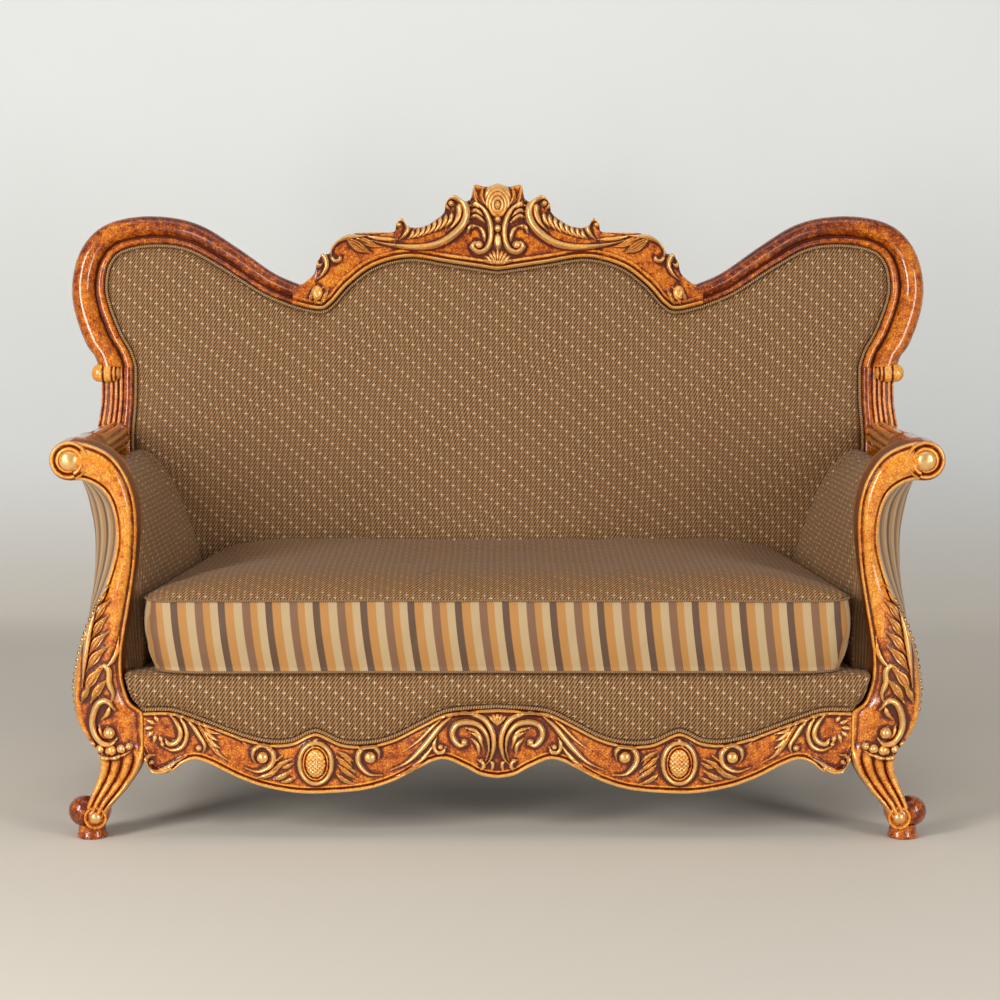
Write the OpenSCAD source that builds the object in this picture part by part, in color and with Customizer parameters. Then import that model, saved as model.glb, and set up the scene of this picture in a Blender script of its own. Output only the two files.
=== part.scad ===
// Cabriole sofa: carved show-wood frame, upholstered back and arms, loose seat cushion.
// The frame stands on z = 0, faces -Y, and is mirrored about X = 0.

/* [Overall] */
// Width over the scrolled fronts of the arms
arms_w = 1576; // [1450:1:1700]
// Width over the two rounded ears of the back
back_w = 1734; // [1650:1:1850]
// Height of the arms at the top of their scrolls
arm_h = 720; // [690:1:760]
// Depth from the front of the posts to the back frame, at the seat rails
seat_run = 595; // [540:1:680]
// Length of the back along its rake, from the seat rails to the top of the crest
back_len = 912; // [860:1:980]
// Backward lean of the back in degrees
rake = 11; // [7:1:14]

/* [Front posts] */
// Width that a front post takes up, from its scroll to the apron joint
post_w = 160; // [140:1:180]
// Depth of a front post from front to rear
post_t = 75; // [66:1:90]
// Depth of the moulding on the face of a front post
post_mould = 12; // [8:1:16]
// Radius of the scroll at the front of each arm
scroll_r = 35; // [32:1:38]
// Radius of the gilded button in an arm scroll
button_r = 19; // [15:1:21]
// Radius of the ball on the outside of a front foot
ball_r = 28; // [24:1:31]
// Radius of the scroll on the face of a front foot
foot_scroll_r = 21; // [17:1:24]
// Height of the round plinth under a front foot
plinth_h = 24; // [18:1:30]
// Radius of the plinth at the floor
plinth_r = 27; // [23:1:30]

/* [Seat frame] */
// Height of the top of the side seat rails
rail_top = 268; // [255:1:280]
// Height of a seat rail
rail_h = 80; // [65:1:90]
// Thickness of a seat rail
rail_t = 32; // [26:1:38]
// Height of the lowest point of the apron
apron_z = 84; // [70:1:100]
// Height of the apron from its lowest to its highest point
apron_h = 155; // [145:1:160]
// Thickness of the apron
apron_t = 38; // [32:1:42]
// Distance of the apron behind the fronts of the posts
apron_set = 12; // [9:1:16]
// Length of the tenons on the rails
tenon_l = 20; // [15:1:25]
// Thickness of the tenons
tenon_t = 16; // [12:1:18]
// Height of the tenons
tenon_h = 46; // [36:1:52]

/* [Back frame] */
// Depth of the back frame from front to rear
frame_t = 50; // [44:1:56]
// Width of the ear moulding where it stands on the back post
ear_w = 72; // [64:1:78]
// Width of the ear moulding where it meets the crest
ear_end_w = 44; // [40:1:50]
// How far the round of the ear moulding stands proud of the frame
ear_crown = 18; // [12:1:22]
// How far the crest stands proud of the frame
crest_proud = 9; // [6:1:12]
// How far the rear feet kick back
kick = 95; // [60:1:120]
// Radius of the gilded collar under each ear
collar_r = 12; // [10:1:14]
// Radius of the dowels that join the back frame
dowel_r = 5; // [4:0.5:6]
// Length of those dowels
dowel_l = 50; // [40:1:60]

/* [Arms] */
// Radius of the wooden roll on top of an arm
roll_r = 32; // [28:1:34]
// How much lower the roll is at its rear end
roll_drop = 30; // [15:1:40]
// Width between the arm pads at the back of the seat
seat_back_w = 1150; // [1080:1:1180]

/* [Upholstery] */
// Thickness of the platform under the cushion
deck_t = 32; // [25:1:40]
// How far the inside back is crowned
back_crown = 26; // [15:1:35]
// Thickness of the outer fabric panels
panel_t = 5; // [4:0.5:6]
// Thickness of a webbing strap
web_t = 3; // [2:0.5:4]
// Width of a webbing strap
web_w = 60; // [50:1:70]
// Radius of the gimp cord along the wood
gimp_r = 4; // [3:0.5:5]
// Radius of a nail head
nail_r = 5; // [4:0.5:5.5]
// Thickness of the black cloth under the seat
dust_t = 1.5; // [1:0.5:3]

/* [Seat cushion] */
// How far the cushion stops short of the back frame
cushion_gap = 12; // [8:1:40]
// Height of the cushion at its edge
cushion_h = 126; // [100:1:150]
// How far the top of the cushion is crowned
cushion_crown = 24; // [10:1:35]
// Radius of the corners of the cushion
cushion_corner_r = 45; // [35:1:80]
// Thickness of the cushion cover
cover_t = 3; // [2:0.5:5]
// Radius of the piping around the cushion
piping_r = 2.5; // [2:0.5:3.5]

/* [Hidden] */

wood = [0.55, 0.27, 0.08];
gilt = [0.80, 0.58, 0.25];
beech = [0.78, 0.62, 0.42];
cloth = [0.42, 0.32, 0.20];
stripe = [0.76, 0.62, 0.40];
trim = [0.45, 0.37, 0.24];
jute = [0.62, 0.50, 0.33];
black = [0.08, 0.08, 0.08];
foam = [0.90, 0.86, 0.74];

gap = 0.3;
cut = 1;
fit = 0.2;
bore_gap = 0.05;
steps = 2;

arm_half = arms_w / 2;
back_half = back_w / 2;
back_drop = back_len * sin(rake) + frame_t * cos(rake);
front_y = -(seat_run + back_drop) / 2;
back_y = front_y + seat_run;
post_rear = front_y + post_t;
joint_share = 0.98;
joint_x = arm_half - post_w * joint_share;
rail_low = rail_top - web_t;
rail_bottom = rail_top - rail_h;
deck_z = rail_top + web_t;
deck_top = deck_z + deck_t;
apron_y = front_y + apron_set;
apron_rear = apron_y + apron_t;

// Shared curve functions

function lerp(a, b, t) = a + (b - a) * t;
function ease(t) = t * t * (3 - 2 * t);
function clamped(t) = min(max(t, 0), 1);
function bump(t, at, reach) = ease(clamped(1 - abs(t - at) / reach));

function spline(a, b, c, d, t) =
    (2 * b + (c - a) * t + (2 * a - 5 * b + 4 * c - d) * t * t
    + (3 * b - a - 3 * c + d) * t * t * t) / 2;

function smooth(p, n) = concat(
    [for (i = [0:len(p) - 2], k = [0:n - 1])
        spline(p[max(i - 1, 0)], p[i], p[i + 1], p[min(i + 2, len(p) - 1)], k / n)],
    [p[len(p) - 1]]);

function scaled(p, w, h) = [for (q = p) [q[0] * w, q[1] * h]];
function flipped(p) = [for (i = [len(p) - 1:-1:0]) [-p[i][0], p[i][1]]];
function turned(p) = [for (i = [len(p) - 1:-1:0]) p[i]];
function part_of(p, from, to) = [for (i = [from:to]) p[i]];

// The direction that points away from the upholstery, at point i of a curve
function outward(p, i) =
    let (d = p[min(i + 1, len(p) - 1)] - p[max(i - 1, 0)]) [d[1], -d[0]] / norm(d);

// Triangles that close a ring of n points which folds back on itself, such as a bent strip
function strip(n) = [for (j = [0:ceil(n / 2) - 2]) each concat([[j, j + 1, n - 1 - j]],
    j + 1 < n - 2 - j ? [[j + 1, n - 2 - j, n - 1 - j]] : [])];

// A solid through rings of equal length, each ring anticlockwise seen from the last one
module loft(rings, folded = false) {
    n = len(rings[0]);
    m = len(rings);
    ends = folded ? strip(n) : [[for (j = [0:n - 1]) j]];
    polyhedron(
        points = [for (r = rings) each r],
        faces = concat(
            ends,
            [for (f = ends) [for (k = [len(f) - 1:-1:0]) (m - 1) * n + f[k]]],
            [for (i = [0:m - 2], j = [0:n - 1]) [i * n + j, (i + 1) * n + j, (i + 1) * n + (j + 1) % n]],
            [for (i = [0:m - 2], j = [0:n - 1]) [i * n + j, (i + 1) * n + (j + 1) % n, i * n + (j + 1) % n]]
        ),
        convexity = 8
    );
}

// The same solid where the last ring leads back to the first
module ring_loft(rings) {
    n = len(rings[0]);
    m = len(rings);
    polyhedron(
        points = [for (r = rings) each r],
        faces = concat(
            [for (i = [0:m - 1], j = [0:n - 1])
                [i * n + j, ((i + 1) % m) * n + j, ((i + 1) % m) * n + (j + 1) % n]],
            [for (i = [0:m - 1], j = [0:n - 1])
                [i * n + j, ((i + 1) % m) * n + (j + 1) % n, i * n + (j + 1) % n]]
        ),
        convexity = 8
    );
}

module mirrored() {
    mirror([1, 0, 0]) children();
}

// A plate drawn in X and Z that fills y0 to y1
module plate(points, y0, y1) {
    translate([0, y1, 0]) rotate([90, 0, 0]) linear_extrude(y1 - y0) polygon(points);
}

// A block between two corners
module block(low, high) {
    translate(low) cube(high - low);
}

// Puts a shape drawn in the plane of the back on the raked back frame
module on_back() {
    translate([0, back_y, rail_top]) rotate([-rake, 0, 0]) children();
}

function back_point(x, b, v) =
    [x, back_y + v * sin(rake) + b * cos(rake), rail_top + v * cos(rake) - b * sin(rake)];

// Front of the back frame at height z
function back_plane(z) = back_y + max(z - rail_top, 0) * tan(rake);

// Front posts. The outline runs from the foot to the scroll: the share of post_w in from
// the scroll, then the share of arm_h.

post_in_shares = [
    [0.56, 0.055], [0.655, 0.085], [0.825, 0.125], [0.97, 0.175], [0.99, 0.22], [0.99, 0.28],
    [0.98, 0.32], [0.83, 0.35], [0.755, 0.41], [0.75, 0.465], [0.785, 0.52], [0.845, 0.595],
    [0.90, 0.67], [0.93, 0.735], [0.945, 0.795], [0.92, 0.86], [0.825, 0.92], [0.67, 0.965],
    [0.455, 0.99], [0.24, 1]
];
post_out_shares = [
    [0.32, 0.085], [0.375, 0.115], [0.425, 0.145], [0.475, 0.18], [0.45, 0.22], [0.29, 0.26],
    [0.175, 0.305], [0.15, 0.365], [0.19, 0.425], [0.25, 0.48], [0.345, 0.535], [0.475, 0.59],
    [0.60, 0.655], [0.695, 0.73], [0.705, 0.79], [0.66, 0.84], [0.59, 0.87], [0.475, 0.89],
    [0.35, 0.90], [0.225, 0.90]
];
// Across a post from its inner to its outer edge, and the share of the moulding's depth:
// the plain moulded post, then the reeded leg
post_face_shares = [
    [0, 1, 1], [0.04, 0.45, 0.7], [0.12, 0.3, 0.25], [0.19, 0.55, 0.6], [0.32, 0.15, 0.1],
    [0.45, 0, 0.55], [0.57, 0.05, 0], [0.69, 0.25, 0.5], [0.78, 0.6, 0.15], [0.88, 0.35, 0.6],
    [0.96, 0.5, 0.4], [1, 1, 1]
];

function post_edge(shares) =
    [for (p = smooth(shares, steps)) [max(arm_half - p[0] * post_w, joint_x), p[1] * arm_h]];
post_in = post_edge(post_in_shares);
post_out = post_edge(post_out_shares);
post_waist_share = 0.7;
post_ankle_share = 0.14;
leg_share = 0.24;
waist_set = 6;
ankle_set = 12;
leg_t_share = 0.72;

function post_front(h) =
    front_y + waist_set * bump(h, post_waist_share, 0.35) + ankle_set * bump(h, post_ankle_share, 0.1);
function post_back(h) =
    front_y + post_t * lerp(leg_t_share, 1, ease(clamped((h - post_ankle_share / 2) / 0.12)));
function post_ring(i) =
    let (a = post_in[i], o = post_out[i], h = a[1] / arm_h, reeds = bump(h, post_ankle_share, 0.09))
    concat(
        [[a[0], post_back(h), a[1]]],
        [for (f = post_face_shares) [
            lerp(a[0], o[0], f[0]),
            post_front(h) + post_mould * lerp(f[1], f[2], reeds),
            lerp(a[1], o[1], f[0])
        ]],
        [[o[0], post_back(h), o[1]]]
    );

scroll_x = arm_half - scroll_r;
scroll_z = arm_h - scroll_r;
scroll_face = front_y + post_mould / 3;
groove_r = 3;
foot_x = arm_half - post_w * 0.36;
ball_x = arm_half - post_w * 0.275;
ball_y = front_y + ball_r + post_mould / 2;
foot_scroll_x = arm_half - post_w * 0.425;
foot_scroll_z = plinth_h + foot_scroll_r * 0.8;
foot_button_r = foot_scroll_r * 0.6;
roll_tenon_r = 12;

module arm_scroll() {
    difference() {
        translate([scroll_x, post_rear, scroll_z])
            rotate([90, 0, 0]) cylinder(r = scroll_r, h = post_rear - scroll_face, $fn = 48);
        translate([scroll_x, scroll_face, scroll_z]) rotate([90, 0, 0])
            rotate_extrude($fn = 48) translate([button_r + 2 * groove_r, 0]) circle(r = groove_r, $fn = 16);
    }
    translate([scroll_x, front_y + button_r, scroll_z]) sphere(r = button_r, $fn = 32);
}

module front_foot() {
    translate([foot_x, ball_y, 0])
        cylinder(r1 = plinth_r, r2 = plinth_r * 0.88, h = plinth_h + cut, $fn = 48);
    translate([ball_x, ball_y, plinth_h + ball_r * 0.85]) sphere(r = ball_r, $fn = 40);
    translate([foot_scroll_x, ball_y + ball_r, foot_scroll_z]) rotate([90, 0, 0])
        cylinder(r = foot_scroll_r, h = 2 * ball_r, $fn = 40);
    translate([foot_scroll_x, front_y + foot_button_r, foot_scroll_z])
        sphere(r = foot_button_r, $fn = 32);
}

apron_tenon_z = rail_bottom - tenon_h / 3;

module front_post() {
    color(wood) difference() {
        union() {
            loft([for (i = [0:len(post_in) - 1]) post_ring(i)]);
            arm_scroll();
            front_foot();
        }
        mortise(joint_x, apron_y + (apron_t - tenon_t) / 2, apron_tenon_z);
        side_tenon(post_rear, -1, fit);
        translate([scroll_x, post_rear + cut, scroll_z]) rotate([90, 0, 0])
            cylinder(r = roll_tenon_r + bore_gap, h = tenon_l + cut + fit, $fn = 32);
    }
}

// A pocket that takes a tenon pointing along +X
module mortise(x, y, z) {
    block([x - cut, y - fit, z - fit], [x + tenon_l + fit, y + tenon_t + fit, z + tenon_h + fit]);
}

// Apron. Outline in shares of half its length and of its height, from the joint to the centre

apron_top_shares = [
    [1, 0.96], [0.92, 0.96], [0.85, 0.87], [0.775, 0.75], [0.705, 0.645], [0.635, 0.585],
    [0.58, 0.605], [0.54, 0.685], [0.515, 0.715], [0.49, 0.685], [0.435, 0.585], [0.365, 0.575],
    [0.295, 0.645], [0.22, 0.80], [0.15, 0.94], [0.08, 0.98], [0, 1]
];
apron_low_shares = [
    [1, 0.41], [0.98, 0.27], [0.955, 0.23], [0.92, 0.26], [0.89, 0.35], [0.855, 0.395],
    [0.81, 0.335], [0.735, 0.18], [0.66, 0.07], [0.565, 0], [0.475, 0], [0.375, 0.04],
    [0.295, 0.14], [0.22, 0.30], [0.178, 0.38], [0.143, 0.395], [0.09, 0.30], [0.048, 0.21],
    [0, 0.175]
];
medallion_share = 0.515;
medallion_z = apron_z + apron_h * 0.33;
medallion_w = 40;
medallion_l = 64;
medallion_proud = 8;
centre_boss_r = 14;

function lifted(p) = [for (q = p) [q[0], apron_z + q[1]]];
apron_top = lifted(smooth(scaled(apron_top_shares, joint_x, apron_h), steps));
apron_low = lifted(smooth(scaled(apron_low_shares, joint_x, apron_h), steps));

module egg(w, l) {
    rotate_extrude($fn = 32)
        polygon([for (a = [-90:15:90]) [cos(a) * w / 2, sin(a) * l / 2]]);
}

module front_apron() {
    color(wood) {
        plate(concat(apron_top, part_of(flipped(apron_top), 1, len(apron_top) - 1),
            turned(flipped(apron_low)), part_of(turned(apron_low), 1, len(apron_low) - 1)),
            apron_y, apron_rear);
        for (side = [-1, 1]) {
            translate([side * joint_x * medallion_share,
                apron_y + medallion_w / 2 - medallion_proud, medallion_z])
                egg(medallion_w, medallion_l);
            x = side > 0 ? joint_x - cut : -joint_x - tenon_l;
            block([x, apron_y + (apron_t - tenon_t) / 2, apron_tenon_z],
                [x + tenon_l + cut, apron_y + (apron_t + tenon_t) / 2, apron_tenon_z + tenon_h]);
        }
        translate([0, apron_y + centre_boss_r / 2, apron_z + apron_h - 2 * centre_boss_r])
            sphere(r = centre_boss_r, $fn = 32);
    }
}

// Seat frame

inner_rail_t = post_rear - apron_rear - 2 * gap;
side_rail_in_front = arm_half - post_w * 0.61;
side_rail_in_rear = back_half * 0.796;
back_rail_y = back_y + (frame_t - rail_t) / 3;
tenon_z = rail_bottom + (rail_h - tenon_h) / 2;
brace_w = 50;
brace_h = 50;
block_leg = 90;
block_h = 45;

module inner_front_rail() {
    color(beech) block([-joint_x + gap, apron_rear + gap, rail_bottom],
        [joint_x - gap, apron_rear + gap + inner_rail_t, rail_low]);
}

// The tenon of a side rail at its front (end -1) or rear (end 1). In a back post it lies above
// the tenon of the back rail.
module side_tenon(y, end, grow) {
    x = (end < 0 ? side_rail_in_front : side_rail_in_rear) + (rail_t - tenon_t) / 2;
    y0 = end < 0 ? y - tenon_l : y - cut;
    z0 = end < 0 ? tenon_z : tenon_z + tenon_h / 2;
    block([x - grow, y0 - grow, z0 - grow],
        [x + tenon_t + grow, y0 + tenon_l + cut + grow, tenon_z + tenon_h + grow]);
}

module side_seat_rail() {
    color(beech) {
        translate([0, 0, rail_bottom]) linear_extrude(rail_h) polygon([
            [side_rail_in_front, post_rear + gap], [side_rail_in_front + rail_t, post_rear + gap],
            [side_rail_in_rear + rail_t, back_y - gap], [side_rail_in_rear, back_y - gap]
        ]);
        side_tenon(post_rear, -1, 0);
        side_tenon(back_y, 1, 0);
    }
}

module back_rail_tenon(grow) {
    y = back_rail_y + (rail_t - tenon_t) / 2;
    block([side_rail_in_rear - cut, y - grow, tenon_z - grow],
        [side_rail_in_rear + tenon_l + grow, y + tenon_t + grow, tenon_z + tenon_h / 2 - 2 * fit + grow]);
}

module back_seat_rail() {
    color(beech) {
        block([-side_rail_in_rear + gap, back_rail_y, rail_bottom],
            [side_rail_in_rear - gap, back_rail_y + rail_t, rail_low]);
        back_rail_tenon(0);
        mirrored() back_rail_tenon(0);
    }
}

module seat_brace() {
    color(beech) block([-brace_w / 2, post_rear, rail_low - gap - brace_h],
        [brace_w / 2, back_rail_y - gap, rail_low - gap]);
}

// Glued blocks in the four corners, each a triangle in plan
module corner_block(x, y, side, end) {
    translate([0, 0, rail_bottom + gap]) linear_extrude(block_h)
        polygon([[x, y], [x - side * block_leg, y], [x, y + end * block_leg]]);
}

module corner_blocks() {
    slope = (side_rail_in_rear - side_rail_in_front) / (back_y - post_rear);
    rear_x = side_rail_in_rear - 2 * gap;
    front_x = side_rail_in_front - max(-slope, 0) * block_leg - gap;
    color(beech) for (side = [-1, 1]) {
        corner_block(side * front_x, post_rear + gap, side, 1);
        corner_block(side * (rear_x - max(slope, 0) * block_leg), back_rail_y - gap, side, -1);
    }
}

// Back frame. The inner edge of the frame, in shares of half the back's width and of its length:
// up the back post, round the ear and along the crest to the centre

stile_in_shares = [
    [0.796, 0], [0.799, 0.065], [0.807, 0.165], [0.824, 0.275], [0.848, 0.36], [0.856, 0.42],
    [0.85, 0.51], [0.85, 0.587]
];
stile_out_shares = [
    [0.865, 0], [0.868, 0.065], [0.879, 0.165], [0.90, 0.275], [0.923, 0.36], [0.937, 0.42],
    [0.925, 0.51], [0.926, 0.587]
];
ear_in_shares = [
    [0.85, 0.587], [0.862, 0.622], [0.888, 0.666], [0.915, 0.734], [0.92, 0.779], [0.909, 0.823],
    [0.878, 0.851], [0.807, 0.864], [0.725, 0.855], [0.642, 0.813], [0.548, 0.756], [0.476, 0.727]
];
crest_in_shares = [
    [0.476, 0.727], [0.418, 0.715], [0.39, 0.727], [0.347, 0.772], [0.288, 0.813],
    [0.206, 0.832], [0.112, 0.819], [0, 0.803]
];
crest_out_shares = [
    [0.455, 0.774], [0.43, 0.796], [0.422, 0.82], [0.41, 0.84], [0.394, 0.842], [0.386, 0.858],
    [0.362, 0.878], [0.328, 0.887], [0.247, 0.89], [0.238, 0.906], [0.224, 0.92], [0.21, 0.902],
    [0.176, 0.902], [0.146, 0.917], [0.126, 0.934], [0.12, 0.956], [0.101, 0.971],
    [0.078, 0.956], [0.063, 0.96], [0.055, 0.988], [0.028, 0.985], [0, 0.99]
];
function back_curve(shares) = smooth(scaled(shares, back_half, back_len), steps);
stile_in = back_curve(stile_in_shares);
stile_out = back_curve(stile_out_shares);
ear_in = back_curve(ear_in_shares);
crest_in = back_curve(crest_in_shares);
crest_out = back_curve(crest_out_shares);
frame_in = concat(stile_in, part_of(ear_in, 1, len(ear_in) - 1), part_of(crest_in, 1, len(crest_in) - 1));

// Across the ear moulding from its inner edge: share of the width, share of the crown,
// share of the depth
ear_section_shares = [
    [0, 0, 1], [0, 0, 0.05], [0.05, -0.35, 0], [0.15, -0.4, 0], [0.22, 0.1, 0], [0.34, -0.6, 0],
    [0.52, -1, 0], [0.74, -0.8, 0], [0.92, -0.1, 0], [1, 0, 0.3], [0.98, 0, 0.65], [0.86, 0, 1]
];
ear_depth_share = 0.94;

// Share of the ear over which the direction across it turns from square on the post
ear_turn_share = 0.25;
function ear_across(i) =
    let (v = lerp([1, 0], outward(ear_in, i), clamped(i / (ear_turn_share * (len(ear_in) - 1)))))
    i == len(ear_in) - 1 ? joint_normal : v / norm(v);
function ear_ring(i) =
    let (t = i / (len(ear_in) - 1), w = lerp(ear_w, ear_end_w, ease(t)), c = ear_crown * w / ear_w,
        n = ear_across(i))
    [for (s = ear_section_shares) [
        ear_in[i][0] + n[0] * s[0] * w,
        s[1] * c + s[2] * frame_t * ear_depth_share,
        ear_in[i][1] + n[1] * s[0] * w
    ]];
joint_normal = outward(
    concat(part_of(ear_in, len(ear_in) - 2, len(ear_in) - 1), [crest_in[1]]), 1);
joint_point = crest_in[0];
joint_tangent = [joint_normal[1], -joint_normal[0]];
dowel_rows = [frame_t * 0.3, frame_t * 0.7];
stile_top = stile_in[len(stile_in) - 1][1];
stile_mid = (stile_in[len(stile_in) - 1][0] + stile_out[len(stile_out) - 1][0]) / 2;

// The two dowels at the top of a back post, then the two in the crest joint
module back_dowels(r, l) {
    for (b = dowel_rows) {
        translate([stile_mid, b, stile_top - l / 2]) cylinder(r = r, h = l, $fn = 24);
        p = joint_point + joint_normal * ear_end_w / 2 - joint_tangent * l / 2;
        translate([p[0], b, p[1]])
            rotate([0, atan2(joint_tangent[0], joint_tangent[1]), 0]) cylinder(r = r, h = l, $fn = 24);
    }
}

module back_ear() {
    color(wood) on_back() difference() {
        loft([for (i = [0:len(ear_in) - 1]) ear_ring(i)]);
        back_dowels(dowel_r + bore_gap, dowel_l + 2 * fit);
    }
}

// Back posts: the raked stile above the seat rails and the rear leg below them

reed_depth = 5;
leg_in_shift = 14;
leg_out_shift = 14;
leg_levels = [0, 0.15, 0.3, 0.45, 0.6, 0.75, 0.94];
// Across a back post from its inner edge: share of the width and share of the reeds' depth
stile_face_shares = [
    [0, 0], [0.3, 0], [0.4, 1], [0.48, 0], [0.56, 1], [0.64, 0], [0.72, 1], [0.8, 0], [0.88, 1],
    [0.96, 0.2]
];
chamfer = 6;
reed_at_share = 0.505;

function post_section(x0, x1, reeds) = concat(
    [[x0, frame_t]],
    [for (f = stile_face_shares) [lerp(x0, x1, f[0]), reeds * reed_depth * f[1]]],
    [[x1, chamfer], [x1, frame_t - chamfer], [x1 - chamfer, frame_t]]
);
function stile_ring(i) =
    let (v = stile_in[i][1], reeds = bump(v / back_len, reed_at_share, 0.06))
    [for (p = post_section(stile_in[i][0], stile_out[i][0], reeds)) [p[0], p[1], v]];
function leg_ring(h) =
    let (k = pow(1 - clamped(h / 0.6), 2), z = h * (rail_top - frame_t * sin(rake)))
    [for (p = post_section(stile_in[0][0] - leg_in_shift * k, stile_out[0][0] - leg_out_shift * k, 0))
        [p[0], back_y + p[1] + kick * k, z]];

// Lobes of the collar: share of ear_w out from the inner edge of the post
collar_shares = [0.49, 0.76, 1.02];

module back_collar() {
    x0 = stile_in[len(stile_in) - 1][0];
    for (s = collar_shares)
        translate([x0 + s * ear_w, collar_r / 2, stile_top - collar_r]) sphere(r = collar_r, $fn = 32);
    translate([x0 + collar_shares[0] * ear_w, collar_r / 2, stile_top - collar_r]) rotate([0, 90, 0])
        cylinder(r = collar_r * 0.85, h = (collar_shares[2] - collar_shares[0]) * ear_w, $fn = 32);
}

module back_post() {
    color(wood) difference() {
        union() {
            loft(concat(
                [for (h = leg_levels) leg_ring(h)],
                [for (i = [0:len(stile_in) - 1]) [for (p = stile_ring(i)) back_point(p[0], p[1], p[2])]]
            ));
            on_back() back_collar();
        }
        on_back() back_dowels(dowel_r + bore_gap, dowel_l + 2 * fit);
        side_tenon(back_y, 1, fit);
        back_rail_tenon(fit);
    }
}

// Crest rail

crest_start = joint_point + joint_normal * ear_end_w;
bead_w = 12;
bead_h = 5;
bead_inset = 2;
curl_shares = [[0.093, 0.951, 0.0155], [0.224, 0.905, 0.012], [0.412, 0.823, 0.012]];
curl_proud = 7;
cone_w = 52;
cone_l = 80;
cone_v = back_len - cone_l / 2;
stem_r = 11;

function bead_ring(p, i) =
    let (n = outward(p, i)) [for (s = [[0, 0.5], [0, -0.4], [0.3, -1], [0.7, -1], [1, -0.4], [1, 0.5]]) [
        p[i][0] + n[0] * (bead_inset + s[0] * bead_w), s[1] * bead_h - crest_proud,
        p[i][1] + n[1] * (bead_inset + s[0] * bead_w)
    ]];

module crest_rail() {
    whole_in = concat(crest_in, part_of(flipped(crest_in), 1, len(crest_in) - 1));
    whole_out = concat([crest_start], crest_out, part_of(flipped(crest_out), 1, len(crest_out) - 1),
        flipped([crest_start]));
    color(wood) on_back() difference() {
        union() {
            plate(concat(whole_in, turned(whole_out)), -crest_proud, frame_t);
            loft([for (i = [1:len(whole_in) - 2]) bead_ring(whole_in, i)]);
            for (side = [-1, 1], c = curl_shares)
                translate([side * c[0] * back_half, frame_t * 0.7, c[1] * back_len]) rotate([90, 0, 0])
                    cylinder(r = c[2] * back_half, h = frame_t * 0.7 + crest_proud + curl_proud, $fn = 32);
            translate([0, frame_t * 0.2, cone_v]) egg(cone_w, cone_l);
            translate([0, -crest_proud + stem_r / 2, crest_in[len(crest_in) - 1][1] + 3 * stem_r])
                sphere(r = stem_r, $fn = 24);
        }
        back_dowels(dowel_r + bore_gap, dowel_l + 2 * fit);
        mirrored() back_dowels(dowel_r + bore_gap, dowel_l + 2 * fit);
    }
}

module frame_dowels() {
    color(beech) on_back() {
        back_dowels(dowel_r, dowel_l);
        mirrored() back_dowels(dowel_r, dowel_l);
    }
}

// Hidden members and cloth of the back, all cut to the inner edge of the frame

function inset_by(p, d) = [for (i = [0:len(p) - 1])
    let (n = i == 0 ? [1, 0] : i == len(p) - 1 ? [0, 1] : outward(p, i)) p[i] - n * d];
// The whole inner edge above height low, drawn in by d, also at the bottom
function closed_back(d, low) =
    let (start = low + d, clear = low + 2 * rebate_w,
        inner = [for (p = frame_in) if (p[1] > clear) p],
        h = inset_by(concat([[lookup(start, stile_line), start]], inner), d))
    concat(h, part_of(flipped(h), 1, len(h) - 1));

stile_line = [for (p = stile_in) [p[1], p[0]]];
rebate_w = 2 * gimp_r + 3 * gap;
rebate_b = 2;
pad_low = deck_top - rail_top;
pad_rear = frame_t * 0.25;
hidden_front = pad_rear + 2 * web_t;
hidden_rear = frame_t - 2 * panel_t;
liner_low = 0.07 * back_len;
liner_h = 50;
upright_w = 60;
strap_rows = [for (k = [0:4]) liner_low + liner_h + (0.1 + 0.11 * k) * back_len];
strap_columns = [-3, -2, -1, 1, 2, 3];
column_pitch = 0.22 * back_half;

module back_liner_rail() {
    color(beech) on_back() intersection() {
        plate(closed_back(gap, 0), hidden_front, hidden_rear);
        block([-back_half, 0, liner_low], [back_half, frame_t, liner_low + liner_h]);
    }
}

module back_upright() {
    color(beech) on_back() intersection() {
        plate(closed_back(gap, 0), hidden_front, hidden_rear);
        block([-upright_w / 2, 0, liner_low + liner_h + gap], [upright_w / 2, frame_t, back_len]);
    }
}

module back_webbing() {
    color(jute) on_back() {
        intersection() {
            plate(closed_back(gap, 0), pad_rear + web_t, hidden_front);
            union() for (v = strap_rows) block([-back_half, 0, v], [back_half, frame_t, v + web_w]);
        }
        intersection() {
            plate(closed_back(gap, 0), pad_rear, pad_rear + web_t);
            union() for (k = strap_columns)
                block([k * column_pitch - web_w / 2, 0, liner_low],
                    [k * column_pitch + web_w / 2, frame_t, back_len]);
        }
    }
}

// Rings of the crowned inside back: share of the way out to its lip and share of the crown
crown_shares = [[0.97, 0.3], [0.88, 0.7], [0.62, 0.95], [0.3, 1]];
// Where those rings draw in to: share of the distance from the centre, share of the back's length
crown_spread_share = 0.75;
crown_at_share = 0.45;

function crown_centre(p) = [p[0] * crown_spread_share, back_len * crown_at_share];

module back_pad() {
    rim = closed_back(gap, pad_low);
    lip = closed_back(rebate_w, pad_low);
    rings = concat(
        [[for (p = rim) [p[0], pad_rear - gap, p[1]]]],
        [[for (p = rim) [p[0], rebate_b, p[1]]]],
        [[for (p = lip) [p[0], rebate_b, p[1]]]],
        [for (c = crown_shares) [for (p = lip) let (q = lerp(crown_centre(p), p, c[0]))
            [q[0], rebate_b - back_crown * c[1], q[1]]]]
    );
    color(cloth) on_back() loft(rings);
}

module back_panel() {
    color(cloth) {
        on_back() plate(closed_back(gap, 0), frame_t - 2 * panel_t + gap, frame_t - panel_t);
        y = back_rail_y + rail_t + gap;
        block([-side_rail_in_rear + gap, y, rail_bottom], [side_rail_in_rear - gap, y + panel_t, rail_top]);
    }
}

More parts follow.
